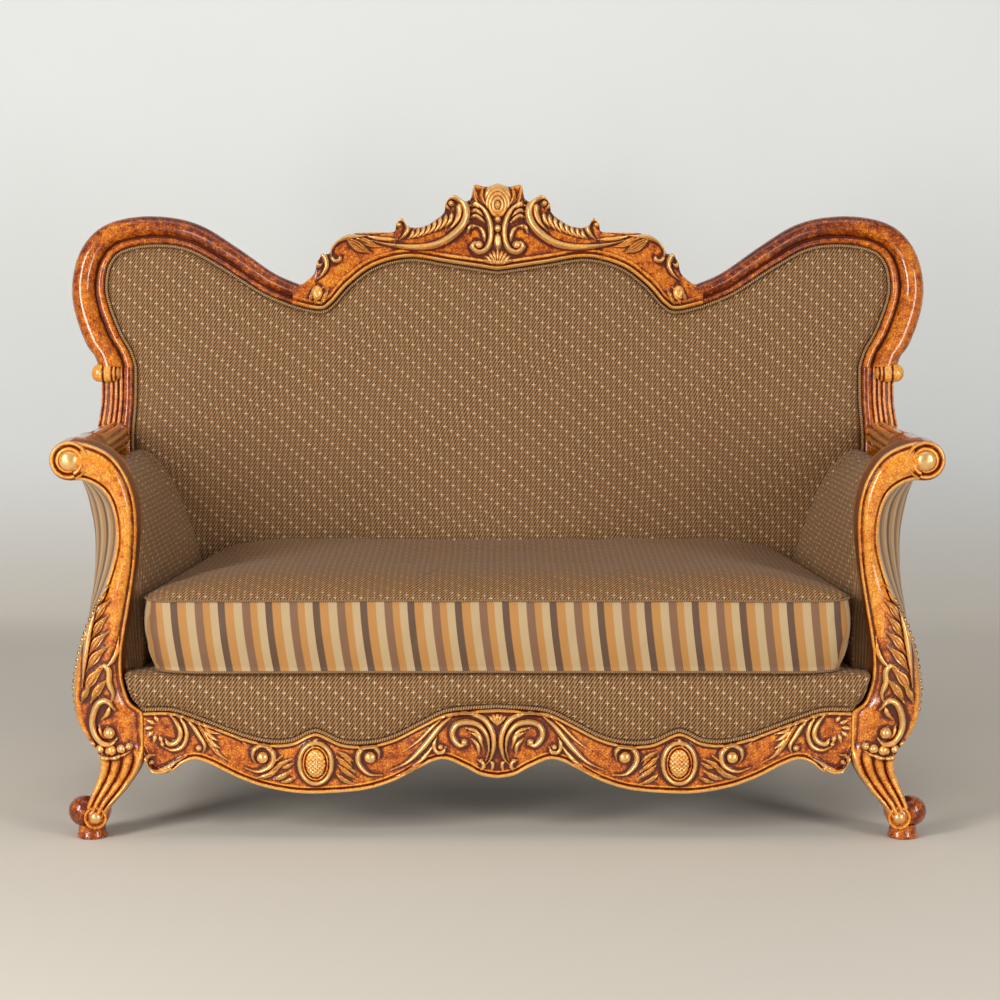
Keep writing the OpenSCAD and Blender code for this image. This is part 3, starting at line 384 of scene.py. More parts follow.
class Relief:
    """Carving over points (x, z) in mm. Each stroke shows where it stands highest. place takes photo
    pixels to such points, and pixel is the length of one in mm."""

    def __init__(self, points, place, pixel):
        self.shape = points.shape[:-1]
        self.p = points.reshape(-1, 2)
        self.place, self.pixel = place, pixel
        self.h = np.zeros(len(self.p))
        self.gilt = np.zeros(len(self.p))

    def carve(self, rows):
        """Carves rows made by cut. Gives the height and the gilding."""
        for kind, at, size, height, options in rows:
            size = np.multiply(size, self.pixel)
            if kind == "stroke":
                self.stroke(self.place(at), size, height, **options)
            else:
                getattr(self, kind)(self.place([at])[0], size, height, **options)
        return self.h.reshape(self.shape), self.gilt.reshape(self.shape)

    def near(self, line, reach):
        """The numbers of the points that may lie within reach of a line."""
        lo, hi = line.min(0) - reach, line.max(0) + reach
        return np.nonzero(((self.p >= lo) & (self.p <= hi)).all(1))[0]

    def oval(self, c, size):
        """The points near an oval, their places in it and their share of its radius."""
        idx = self.near(c[None], np.max(size))
        q = (self.p[idx] - c) / size
        return idx, q, np.linalg.norm(q, axis=1)

    def add(self, idx, h, gold):
        """Puts heights on points where they stand higher than what is there."""
        higher = h > self.h[idx]
        on = idx[higher]
        self.h[on] = h[higher]
        self.gilt[on] = np.maximum(self.gilt[on] * 0.5, gold)

    def stroke(self, line, width, height, taper=(0.35, 0.35), gold=1.0, veins=0, power=0.5):
        """A swept ridge that thins over the shares taper at its ends. veins run along it."""
        line = even(spline(line, 10), STROKE_STEPS)
        width = np.atleast_1d(width)
        steps = np.linspace(0, 1, STROKE_STEPS)
        width = np.interp(steps, np.linspace(0, 1, len(width)), width)
        idx = self.near(line, width.max())
        if not len(idx):
            return
        best, share, side = nearest(self.p[idx], line)
        thin = np.ones(len(idx))
        for end, reach in ((share, taper[0]), (1 - share, taper[1])):
            if reach:
                thin *= smoothstep(end, -0.02, reach) * 0.75 + 0.25
        k = best / (np.interp(share, steps, width) * thin)
        h = height * thin**0.5 * np.clip(1 - k**2, 0, 1) ** power
        if veins:
            h *= 0.72 + 0.28 * np.cos(CIRCLE * veins * k * side)
        h[k >= 1] = -1
        self.add(idx, h, gold)

    def ball(self, c, size, height, gold=1.0, stretch=(1, 1)):
        idx, _, k = self.oval(c, size * np.asarray(stretch))
        self.add(idx, np.where(k < 1, height * dome(k), -1), gold)

    def ring(self, c, size, height, gold=1.0):
        rx, rz, w = size
        a = np.linspace(0, CIRCLE, 33)
        line = np.stack([c[0] + rx * np.cos(a), c[1] + rz * np.sin(a)], 1)
        self.stroke(line, w, height, taper=(0, 0), gold=gold)

    def cone(self, c, size, height, pitch):
        """An egg cut in diamonds, like a pine cone."""
        idx, _, k = self.oval(c, size)
        x, z = (self.p[idx] - c).T
        cut = np.abs(np.sin(math.pi * (x + z) / pitch)) * np.abs(np.sin(math.pi * (x - z) / pitch))
        self.add(idx, np.where(k < 1, height * dome(k) * (0.66 + 0.34 * cut**0.5), -1), 1.0)

    def knob(self, c, size, height, arches):
        """An egg cut in arches round a point below its middle."""
        idx, q, k = self.oval(c, size)
        cut = np.abs(np.sin(math.pi * arches * np.hypot(q[:, 0], q[:, 1] + 0.35)))
        self.add(idx, np.where(k < 1, height * dome(k) * (0.78 + 0.22 * cut), -1), 1.0)

    def fan(self, c, size, height, spread, ribs):
        """A shell of ribs that spread from c between two angles in degrees."""
        idx, q, k = self.oval(c, size)
        s = (np.degrees(np.arctan2(q[:, 1], q[:, 0])) - spread[0]) / (spread[1] - spread[0])
        rib = np.abs(np.sin(math.pi * ribs * s))
        k = k / (0.86 + 0.14 * rib)
        h = height * (0.45 + 0.55 * rib) * np.sqrt(np.clip(k, 0, 1)) * np.clip(1 - k**6, 0, 1)
        self.add(idx, np.where((s > 0) & (s < 1) & (k < 1), h, -1), 1.0)


def cut(kind, at, size, height, **options):
    """A row of carving: its kind, photo pixels, a size in pixels, a height in mm and options."""
    return kind, at, size, height, options


def stroke(line, size, height, start, end, **options):
    """A stroke that thins over the shares start and end of its length."""
    return cut("stroke", line, size, height, taper=(start, end), **options)


def leaves(lines, widths, height, swell=(1,), **options):
    """Rows of strokes that differ in their lines and, where widths is a list, in their widths.
    swell gives the shares of the width from end to end."""
    widths = np.broadcast_to(widths, len(lines))
    return [cut("stroke", line, np.multiply(w, swell), height, **options)
            for line, w in zip(lines, widths)]


def blur(h, n):
    """Box blur over n points each way, done twice on a grid."""
    for _ in range(2):
        for axis in (0, 1):
            pad = [(0, 0), (0, 0)]
            pad[axis] = (n + 1, n)
            c = np.cumsum(np.pad(h, pad, mode="edge"), axis=axis)
            k = 2 * n + 1
            ahead = np.take(c, range(k, c.shape[axis]), axis)
            h = (ahead - np.take(c, range(0, c.shape[axis] - k), axis)) / k
    return h


def tone(h, gilt):
    """High edges catch the gilding, and hollows get painted shade: -1 to 1."""
    up = np.clip((h - blur(h, 3)) / 2.2, -1, 1)
    up = np.where(up > 0, up * (0.45 + 0.55 * gilt), up)
    return np.clip(up + 0.35 * gilt * np.clip(h / 6, 0, 1), -1, 1)


def carved_ribbon(name, inner, outer, height, gilt, face, rear, place, edge_r):
    """A closed carved solid between two contours. height and gilt are grids of rings and points
    across, and edge_r rounds the front edges."""
    m, n = height.shape
    f = np.linspace(0, 1, n)[None, :, None]
    p = inner[:, None] * (1 - f) + outer[:, None] * f
    width = np.linalg.norm(outer - inner, axis=1)[:, None]
    d = np.minimum(f[..., 0], 1 - f[..., 0]) * width
    drop = edge_r * (1 - dome(1 - np.clip(d / edge_r, 0, 1)))
    front = place(p[..., 0], face - height + drop, p[..., 1])
    rear = np.broadcast_to(np.asarray(rear, float), (m,))
    first, last = (place(c[:, 0], rear, c[:, 1])[:, None] for c in (inner, outer))
    tones = np.pad(tone(height - drop, gilt), ((0, 0), (1, 1)))
    return loft(name, np.concatenate([first, front, last], 1), tones=tones)


# Shapes shared with the CAD model, as shares of the sizes above

POST_IN = [
    (0.525, 0.055), (0.61, 0.085), (0.77, 0.125), (0.925, 0.175), (0.99, 0.22), (0.99, 0.28),
    (0.98, 0.32), (0.83, 0.35), (0.755, 0.41), (0.75, 0.465), (0.785, 0.52), (0.845, 0.595),
    (0.90, 0.67), (0.93, 0.735), (0.945, 0.795), (0.92, 0.86), (0.825, 0.92), (0.67, 0.965),
    (0.455, 0.99), (0.24, 1)]
POST_OUT = [
    (0.32, 0.085), (0.375, 0.115), (0.425, 0.145), (0.475, 0.18), (0.46, 0.22), (0.33, 0.26),
    (0.235, 0.305), (0.215, 0.365), (0.245, 0.425), (0.295, 0.48), (0.375, 0.535), (0.485, 0.59),
    (0.60, 0.655), (0.695, 0.73), (0.705, 0.79), (0.66, 0.84), (0.59, 0.87), (0.475, 0.89),
    (0.35, 0.90), (0.225, 0.90)]
APRON_TOP = [
    (1, 0.96), (0.92, 0.96), (0.85, 0.87), (0.775, 0.75), (0.705, 0.645), (0.635, 0.585),
    (0.58, 0.605), (0.54, 0.685), (0.515, 0.715), (0.49, 0.685), (0.435, 0.585), (0.365, 0.575),
    (0.295, 0.645), (0.22, 0.80), (0.15, 0.94), (0.08, 0.98), (0, 1)]
APRON_LOW = [
    (1, 0.41), (0.98, 0.27), (0.955, 0.23), (0.92, 0.26), (0.89, 0.35), (0.855, 0.395),
    (0.81, 0.335), (0.735, 0.18), (0.66, 0.07), (0.565, 0), (0.475, 0), (0.375, 0.04),
    (0.295, 0.14), (0.22, 0.30), (0.178, 0.38), (0.143, 0.395), (0.09, 0.30), (0.048, 0.21),
    (0, 0.175)]
STILE_IN = [
    (0.796, 0), (0.799, 0.065), (0.807, 0.165), (0.824, 0.275), (0.848, 0.36), (0.856, 0.42),
    (0.85, 0.51), (0.85, 0.587)]
STILE_OUT = [
    (0.865, 0), (0.868, 0.065), (0.879, 0.165), (0.90, 0.275), (0.923, 0.36), (0.937, 0.42),
    (0.925, 0.51), (0.926, 0.587)]
EAR_IN = [
    (0.85, 0.587), (0.862, 0.622), (0.888, 0.666), (0.915, 0.734), (0.92, 0.779), (0.909, 0.823),
    (0.878, 0.851), (0.807, 0.864), (0.725, 0.855), (0.642, 0.813), (0.548, 0.756), (0.476, 0.727)]
CREST_IN = [
    (0.476, 0.727), (0.418, 0.715), (0.39, 0.727), (0.347, 0.772), (0.288, 0.813), (0.206, 0.832),
    (0.112, 0.819), (0, 0.803)]
CREST_OUT = [
    (0.455, 0.774), (0.43, 0.796), (0.422, 0.82), (0.41, 0.84), (0.394, 0.842), (0.386, 0.858),
    (0.362, 0.878), (0.328, 0.887), (0.247, 0.89), (0.238, 0.906), (0.224, 0.92), (0.21, 0.902),
    (0.176, 0.902), (0.146, 0.917), (0.126, 0.934), (0.12, 0.956), (0.101, 0.971),
    (0.078, 0.958), (0.063, 0.966), (0.055, 0.995), (0.028, 0.992), (0, 0.998)]


def both_sides(half):
    """A contour from its end to the middle, carried on to the other end."""
    return np.vstack([half, (half * (-1, 1))[-2::-1]])


def back_line(shares):
    return spline(np.array(shares) * (BACK_HALF, BACK_LEN), 12)


def apron_line(shares):
    return spline(np.array(shares) * (JOINT, APRON_H) + (0, APRON_LIFT), 12)


apron_top, apron_low = apron_line(APRON_TOP), apron_line(APRON_LOW)
frame_in = np.vstack([back_line(STILE_IN)[:-1], back_line(EAR_IN)[:-1], back_line(CREST_IN)])


def inset(d, low):
    """The inner edge of the back frame above low, drawn in by d, right side then left."""
    n = normals(frame_in)
    n[0], n[-1] = (1, 0), (0, 1)
    p = frame_in - n * d
    x = np.interp(low + d, p[:40, 1], p[:40, 0])
    p = np.vstack([[x, low + d], p[p[:, 1] > low + d + 1]])
    p[-1, 0] = 0
    return both_sides(p)


# Front posts

POST_PIXEL = 1.72
POST_PLANE = FRONT + 2
POST_GRID = (520, 76)
POST_CARVING = [
    stroke([(107, 556), (103, 574), (97, 600), (92, 626), (88, 652), (85, 684)],
           [2.0, 3.0, 3.4, 2.6], 11, 0.5, 0.3),
    *leaves([[(99, 592), (101, 580), (106, 566)], [(99, 604), (105, 592), (112, 583)],
             [(94, 612), (96, 600), (100, 592)], [(96, 620), (104, 606), (113, 597)],
             [(91, 628), (93, 616), (98, 607)], [(94, 636), (102, 622), (111, 612)],
             [(91, 652), (101, 637), (112, 628)], [(87, 644), (88, 632), (93, 622)],
             [(89, 668), (99, 653), (111, 642)], [(87, 690), (96, 674), (108, 662)],
             [(93, 700), (101, 686), (112, 674)], [(84, 700), (88, 690), (95, 680)]],
            [3.0, 3.6, 2.6, 4.2, 2.8, 4.4, 4.8, 2.8, 5.2, 5.6, 4.6, 3.6], 12, swell=(0.5, 1, 0.8),
            taper=(0.4, 0.6), veins=1, power=0.62, gold=0.85),
    stroke([(99, 666), (107, 662), (112, 668), (112, 679), (116, 690), (114, 698)],
           3.0, 7, 0.3, 0.4, gold=0.5),
    stroke([(121, 634), (119, 650), (113, 660), (106, 663)], 2.4, 6, 0.5, 0.4, gold=0.5),
    stroke([(118, 706), (110, 697), (102, 699), (97, 708), (95, 720), (98, 731), (105, 739),
            (114, 740), (120, 734)], 3.6, 12, 0.2, 0.2, gold=0.75),
    stroke([(113, 702), (110, 710), (104, 716)], 2.8, 8, 0.3, 0.6, gold=0.4),
    cut("ball", (112, 729), 6.4, 13, gold=0.6),
    stroke([(102, 722), (104, 730), (110, 736)], 2.2, 6, 0.3, 0.4, gold=0.4),
    *[cut("ball", at, r, height, gold=0.6, stretch=(1, 0.95))
      for at, r, height in [((94.5, 741), 4.4, 9), ((103, 744.5), 5.0, 11), ((113.5, 745.5), 6.6, 12),
                            ((124, 744.5), 5.2, 10), ((132, 742), 4.0, 8)]],
    stroke([(90, 741), (96, 749), (104, 753), (114, 754), (125, 751), (134, 746)],
           2.0, 6, 0.3, 0.3, gold=0.35),
]
# Beads and grooves along the edges of a post: how far in they lie and their half width
POST_IN_BEAD, POST_OUT_BEAD = (3.0, 3.0), (4.0, 4.0)
POST_IN_GROOVE, POST_OUT_GROOVE = (7.5, 2.4), (9.0, 2.2)
BELLY_H, BELLY_SINK = 17, 6
SCROLL_BUTTON, SCROLL_TURN, SCROLL_PITCH, SCROLL_EDGE = 0.52, 0.16, 0.30, 0.06
PLINTH_SHARE, BALL_SHARE, DISC_SHARE = 0.36, 0.275, 0.425
BALL_R, DISC_R, BUTTON_R = 28, 21, 12.6
FOOT_DISC = [(0, -5), (13, -5), (15, -3), (17, -6), (20, -6), (21, -3), (21, 50), (0, 50)]
PLINTH = [(0, 0), (25, 0), (27, 2), (27, 6), (25, 9), (24, 20), (25, 25), (0, 27)]


def post_body():
    """Leg, belly and S-shaped support in one. f runs from the inner to the outer edge."""
    inner, outer = (spline(np.array(c) * (-POST_W, ARM_H) + (ARM_HALF, 0)) for c in (POST_IN, POST_OUT))
    inner[:, 0] = np.maximum(inner[:, 0], JOINT)
    d = run_along((inner + outer) / 2)
    s = np.linspace(0, d[-1], POST_GRID[0])
    inner, outer = (np.stack([np.interp(s, d, c[:, k]) for k in (0, 1)], 1) for c in (inner, outer))
    f = np.linspace(0, 1, POST_GRID[1])[None]
    grid = inner[:, None] * (1 - f[..., None]) + outer[:, None] * f[..., None]
    z = (inner[:, 1] / ARM_H)[:, None]
    width = np.linalg.norm(outer - inner, axis=1)[:, None]
    from_in, from_out = f * width, (1 - f) * width
    leg = 1 - smoothstep(z, 0.20, 0.25)
    upper = smoothstep(z, 0.56, 0.66)
    flat = smoothstep(z, 0.66, 0.5) * smoothstep(f, 0.25, 0.5)
    reed = reeds(f, 0.1, 3.9)
    base = BELLY_H * np.sin(math.pi * np.clip((f - 0.04) / 0.96, 0, 1) ** 0.85) ** 0.9 - BELLY_SINK
    base = np.maximum(base, bead(from_in, *POST_IN_BEAD, 3.5)) - 2.6 * groove(from_in, *POST_IN_GROOVE)
    base = np.maximum(base, bead(from_out, *POST_OUT_BEAD, 4.5) * upper)
    base = (base - 2.2 * groove(from_out, *POST_OUT_GROOVE) * upper) * (1 - 0.45 * flat)
    base = base * (1 - leg) + np.minimum(3 + 7.5 * reed**0.7, 3 + from_in * 1.2) * leg
    h, gilt = Relief(grid * (-1, 1), on_front(POST_PLANE), POST_PIXEL).carve(POST_CARVING)
    gilt = gilt + 0.1 * (bead(from_in, *POST_IN_BEAD, 1) > 0.6) * (z > 0.22) + 0.5 * leg * (reed > 0.8)
    gilt = np.clip(gilt + 0.5 * smoothstep(z, 0.46, 0.56) * (from_in > 9), 0, 1)
    face = FRONT + 12 + 6 * peak(z, 0.7, 0.35) ** 2 + 12 * peak(z, 0.14, 0.1) ** 2
    rear = FRONT + (POST_REAR - FRONT) * (0.72 + 0.28 * smoothstep(z[:, 0], 0.07, 0.19))
    return carved_ribbon("post_body", inner, outer, base + h, gilt, face, rear, upright, edge_r=9)


def arm_scroll():
    """The scroll of the arm: a winding ridge round a gilt button."""
    a, k = np.meshgrid(np.linspace(0, CIRCLE, 120, endpoint=False),
                       np.r_[np.linspace(0, 1, 46), 1.0], indexing="ij")
    turn = (a / CIRCLE + 0.30) % 1
    ridge = 0.5 + 0.5 * np.cos(CIRCLE * ((k - SCROLL_BUTTON - SCROLL_TURN * turn) / SCROLL_PITCH))
    button = k < SCROLL_BUTTON
    up = np.where(button, 11 * dome(k / SCROLL_BUTTON) + 1, 2 + 5.5 * ridge**0.7)
    up = up * np.clip((1 - k) / SCROLL_EDGE, 0, 1) ** 0.5
    x = ARM_HALF - ROLL_R + ROLL_R * k * np.cos(a)
    z = ARM_H - ROLL_R + ROLL_R * k * np.sin(a)
    rings = upright(x, FRONT + 9 - up, z)
    rings[:, -1, 1] = POST_REAR
    # Painted shade in the valleys between the turns of the ridge; the button is gilt.
    tones = np.clip(np.where(button, 1.0, 1.1 * ridge - 0.55), -1, 1)
    return loft("scroll", rings, tones=tones, closed=True)


def turned(name, profile, at, axes, gilt_r):
    """A solid turned about a line through at. profile holds radii and places along that line, and
    gilt_r the two radii between which it is gilt."""
    r, along = np.array(profile, float).T
    a = np.linspace(0, CIRCLE, 64, endpoint=False)[:, None]
    rings = upright(r * np.cos(a), r * np.sin(a), along)[..., axes] + at
    tones = np.where((r > gilt_r[0]) & (r < gilt_r[1]), 0.3, -0.1)
    return loft(name, rings, tones=np.tile(tones, len(a)), closed=True)


def foot():
    """Ball, disc with its button, and plinth."""
    shares = (PLINTH_SHARE, BALL_SHARE, DISC_SHARE)
    plinth_x, ball_x, disc_x = (ARM_HALF - POST_W * share for share in shares)
    y = FRONT + BALL_R + 6
    disc_z = FOOT_H + DISC_R * 0.8
    return [
        ball("ball", (ball_x, y, FOOT_H + BALL_R * 0.85), BALL_R, -0.25),
        ball("button", (disc_x, FRONT + BUTTON_R, disc_z), BUTTON_R, 0.9),
        turned("disc", FOOT_DISC, (disc_x, y - 23, disc_z), (0, 2, 1), (15, DISC_R)),
        turned("plinth", PLINTH, (plinth_x, y, 0), (0, 1, 2), (0, 0)),
    ]


def front_post():
    o = joined("front_post_right_carved", [post_body(), arm_scroll(), *foot()])
    return sharpen(o, 50)


# Apron and crest

APRON_PIXEL, CREST_PIXEL = 1.73, 2.0
APRON_PLANE, CREST_PLANE = APRON_Y - 3, -CREST_PROUD - 3
APRON_GRID, CREST_GRID = (900, 84), (660, 118)
RAYS_AT, RAY_IN, RAY_OUT, RAY_LEAN = (162, 725), 7, 15, 0.2
rays = [
    [(RAYS_AT[0] + RAY_IN * math.cos(a), RAYS_AT[1] - RAY_IN * math.sin(a)),
     (RAYS_AT[0] + RAY_OUT * math.cos(a + RAY_LEAN), RAYS_AT[1] - RAY_OUT * math.sin(a + RAY_LEAN))]
    for a in np.radians(np.arange(100, 300, 34))]
OVAL_AT = (317, 759)
APRON_CARVING = [
    # Corner scroll at the post
    stroke([(158, 751), (152, 751.5), (148, 757), (150, 764), (157, 768), (168, 765), (178, 758),
            (189, 752)], [2.2, 3.6, 2.2], 10, 0.2, 0.4),
    cut("ball", (154, 758), 2.6, 7),
    stroke([(168, 708), (177, 716), (183, 728), (180, 737), (172, 740), (168, 735)],
           [1.6, 2.8, 2.4], 8, 0.4, 0.1),
    stroke([(173, 706), (184, 716), (189, 730), (185, 742), (175, 746), (165, 742)],
           2.2, 6, 0.4, 0.3),
    cut("ball", (165, 740), 2.4, 8),
    *leaves(rays, 2.0, 4, taper=(0.3, 0.5), gold=0.5),
    # Long leaf and bud
    stroke([(184, 711), (193, 719), (201, 731), (207, 741), (205, 749)],
           [1.6, 2.6, 1.6], 7, 0.3, 0.2),
    cut("ball", (201, 744), 3.2, 8),
    stroke([(178, 708), (192, 713), (204, 724), (213, 739), (222, 751), (235, 759)],
           [1.8, 3.4, 1.8], 7, 0.3, 0.4, veins=1),
    *leaves([[(203, 716), (213, 722), (224, 724)], [(204, 720), (212, 727), (222, 730)],
             [(207, 726), (214, 733), (221, 737)], [(210, 733), (216, 740), (222, 744)],
             [(200, 711), (213, 716), (228, 719)]], 2.3, 7, taper=(0.3, 0.5), gold=0.85),
    stroke([(228, 722), (238, 731), (247, 740)], 2.6, 4, 0.5, 0.5, gold=0.4),
    # First volute and the leaves that lead to the oval
    stroke([(258, 759), (254.5, 753), (256, 745.5), (262.5, 741.5), (270, 743.5), (275, 750),
            (274, 759), (267, 765), (257, 767), (246, 763)], [2.0, 2.9, 2.2], 10, 0.2, 0.4),
    cut("ball", (264.2, 753.4), 6.2, 9, gold=0.7),
    *leaves([[(258, 774), (272, 770), (284, 760)], [(270, 768), (281, 761), (293, 755)],
             [(266, 764), (276, 757), (284, 752)], [(275, 775), (284, 772), (292, 767)],
             [(283, 764), (289, 762), (295, 759)], [(284, 778), (291, 776), (297, 773)]],
            [2.4, 2.8, 2.4, 2.6, 2.0, 2.0], 8, taper=(0.35, 0.45), veins=1),
    # Oval with its cone
    cut("ring", OVAL_AT, (16.6, 21.5, 2.4), 9),
    cut("ring", OVAL_AT, (12.6, 17.2, 1.5), 5, gold=0.5),
    cut("cone", OVAL_AT, (11.0, 15.6), 13, pitch=8.0),
    stroke([(313, 743), (316, 737), (320, 735)], 1.8, 7, 0.2, 0.4),
    # Leaves and second volute
    *leaves([[(338, 753), (345, 759), (356, 768)], [(340, 761), (348, 768), (358, 775)],
             [(339, 748), (347, 752), (356, 758)], [(338, 770), (346, 776), (356, 780)],
             [(345, 754), (350, 757), (353, 762)]],
            [2.8, 2.4, 2.2, 2.2, 1.6], 8, taper=(0.3, 0.5), veins=1),
    stroke([(379, 756), (380, 749), (376, 743.5), (368, 742.5), (361, 747), (359, 756), (363, 764),
            (371, 770), (383, 771)], [2.0, 2.9, 2.2], 10, 0.2, 0.4),
    cut("ball", (371, 753.4), 6.2, 9, gold=0.7),
    # Long stems up to the middle
    stroke([(389, 767), (408, 758), (422, 745), (432, 733), (441, 722), (454, 711)],
           [1.8, 2.8, 2.8], 8, 0.5, 0.3),
    stroke([(396, 772), (415, 762), (429, 748), (437, 735)], [1.4, 2.4, 1.6], 6, 0.5, 0.4, gold=0.8),
    stroke([(404, 748), (420, 736), (434, 722), (446, 712)], [1.2, 1.8], 4, 0.5, 0.3, gold=0.5),
    stroke([(437, 733), (434.5, 741), (437, 747.5), (443, 748), (446, 743)], 2.2, 7, 0.3, 0.2),
    cut("ball", (441, 743), 2.8, 8),
    # Middle scrolls, back to back
    stroke([(446, 714), (460, 709.5), (474, 710.5), (485, 716), (492, 727), (494, 740), (491, 754),
            (486, 760)], [1.8, 3.0, 2.4], 10, 0.4, 0.3),
    stroke([(486, 757), (489, 745), (487, 731), (479, 721), (468, 718), (458, 720), (453, 727),
            (454, 735), (460, 741), (467, 740)], [1.8, 3.0, 3.0], 10, 0.4, 0.1),
    cut("ball", (464.5, 738), 3.4, 9),
    *leaves([[(470, 728), (479, 733), (483, 744)], [(472, 735), (478, 741), (479, 750)],
             [(466, 724), (476, 727), (483, 735)]], 2.0, 6, taper=(0.3, 0.4), gold=0.8),
    stroke([(478, 756), (482, 757.5), (484, 762), (481, 766)], 2.0, 7, 0.2, 0.3),
    stroke([(490, 757), (493, 760), (492, 766)], 1.8, 6, 0.2, 0.3),
    cut("fan", (497.5, 722), 13, 9, spread=(40, 140), ribs=5),
]

FEATHERS = [
    ((452, 212), (446, 226)), ((446.5, 214), (440, 229)), ((441, 217), (434.5, 231.5)),
    ((435.5, 220.5), (429, 233)), ((430, 223.5), (423.5, 235)), ((424.5, 226), (418, 236.5)),
    ((419, 228), (413, 237.5)), ((413.5, 230), (408.5, 238))]
FEATHER_BEND = (1.6, 0.8)
KNOB_AT = (497.5, 199)
CREST_CARVING = [
    # Big scroll that sweeps out from the middle
    stroke([(372, 240), (386, 243.5), (404, 246), (422, 246.5), (438, 243.5), (450, 237),
            (460, 228), (465.5, 218), (466, 208), (461, 199.5), (453, 196), (446.5, 198),
            (444.5, 204), (449, 208)], [2.0, 3.2, 4.0, 4.2, 3.0], 14, 0.3, 0.05),
    stroke([(459, 203), (460, 212), (456, 222), (447, 231)],
           [3.6, 3.4, 1.8], 10, 0.1, 0.6, gold=0.7),
    cut("ball", (451, 203), 3.2, 12),
    *leaves([[a, np.add(a, b) / 2 + FEATHER_BEND, b] for a, b in FEATHERS], 2.3, 9, taper=(0.2, 0.5)),
    # Small curl and the moulding beside it
    stroke([(400, 239), (405.5, 234), (408.5, 227.5), (406, 220.5), (400.5, 218.8), (396.8, 222.5),
            (399, 226.5)], [2.0, 2.8, 2.2], 11, 0.3, 0.1),
    cut("ball", (400, 224), 2.2, 9),
    stroke([(368, 235.5), (382, 238), (398, 239)], 2.0, 6, 0.3, 0.3, gold=0.6),
    stroke([(352, 232), (372, 231), (392, 230)], 2.4, 6, 0.3, 0.3, gold=0.25),
    # Shoulder leaf
    stroke([(332, 256), (331.5, 248), (337, 240.5), (346, 236.5), (358, 235.8), (370, 234.5)],
           [2.4, 3.4, 2.2], 12, 0.2, 0.4),
    stroke([(346, 238), (356, 243), (364, 248.5), (372, 252.5)],
           [2.8, 5.6, 2.6], 11, 0.3, 0.4, veins=2),
    stroke([(352, 236), (364, 240), (374, 244.5), (383, 246)],
           [2.0, 3.4, 2.0], 10, 0.3, 0.4, veins=1),
    stroke([(332, 255), (335, 260), (340, 259.5), (341, 255.5)], 2.0, 9, 0.2, 0.1),
    # Side curl and the husk at the dip
    stroke([(316, 280), (323, 274), (327.5, 265.5), (326, 257), (320.5, 253.5), (317, 258.5),
            (319.5, 265), (323.5, 263)], [1.8, 2.8, 2.4], 12, 0.4, 0.1),
    cut("ball", (318, 292), 6.0, 9, gold=0.6, stretch=(1, 1.3)),
    *leaves([[(310, 300), (315, 291), (319, 284)], [(316, 303), (319, 294), (324, 286)],
             [(322, 303), (326, 295), (329, 288)]], 2.2, 9, taper=(0.3, 0.5), veins=1),
    # Inner scrolls with feathers
    stroke([(466, 199), (476, 203), (485, 211), (490.3, 224), (490.5, 238), (486, 248.5),
            (478.5, 251.5), (472.5, 246.5), (475, 241)], [1.8, 2.6, 2.8, 2.6], 13, 0.3, 0.05),
    cut("ball", (478.4, 244.6), 4.6, 12),
    *leaves([[(468.5, 206), (475, 204.5), (481.5, 209)], [(469, 212), (476, 210), (483.5, 216)],
             [(469.5, 218), (476, 215.5), (485, 222)], [(468, 232), (470, 226.5), (477.5, 225.5)],
             [(477, 225.5), (483, 231), (485, 241)]], 2.0, 9),
    # Beads, husk, shell and the knob on top
    cut("ball", (497.5, 219), 3.4, 12),
    cut("ball", (497.5, 228), 3.6, 11, stretch=(1, 1.15)),
    stroke([(497.5, 233), (497.5, 241), (497.5, 251)], [3.4, 4.4, 2.4], 11, 0.2, 0.4, power=0.6),
    cut("fan", (497.5, 266), 17, 10, spread=(18, 162), ribs=9),
    *leaves([[(484, 212), (476, 200), (473.5, 184)], [(486, 206), (482, 196), (483, 185.5)]],
            [4.2, 3.4], 8, taper=(0.2, 0.75), gold=0.3, veins=1),
    cut("knob", KNOB_AT, (14, 19), 17, arches=4.2),
    stroke([KNOB_AT, (497.5, 205), (497.5, 212)], [1.4, 3.2, 1.4], 20, 0.5, 0.5, gold=0.5),
]
# Beads and grooves along the edges: how far in they lie and their half width
APRON_TOP_BEAD, APRON_LOW_BEAD, APRON_INNER_BEAD = (3.5, 3.0), (4.0, 4.0), (12.5, 2.4)
CREST_LOW_BEAD, CREST_INNER_BEAD = (4.0, 4.0), (15, 4.0)
APRON_TOP_GROOVE, APRON_LOW_GROOVE, CREST_GROOVE = (8, 1.8), (9, 1.6), (9.5, 2)
CREST_END = (14, 38)


def left_half(x, z):
    """The points of a grid as they lie on the photo's left, where the carving is read."""
    return np.stack([np.broadcast_to(-np.abs(x)[:, None], z.shape), z], -1)


def over(x, line):
    """The height of a contour over the distances x from the middle."""
    order = np.argsort(line[:, 0])
    return np.interp(np.abs(x), line[order, 0], line[order, 1])


def between(x, low, top, count):
    """Shares from low to top, the heights there, and the distances to the lower and upper edge."""
    f = np.linspace(0, 1, count)[None]
    z = low[:, None] * (1 - f) + top[:, None] * f
    low_d, top_d = (np.abs(z - c[:, None]) / np.sqrt(1 + np.gradient(c, x) ** 2)[:, None]
                    for c in (low, top))
    return f, z, low_d, top_d


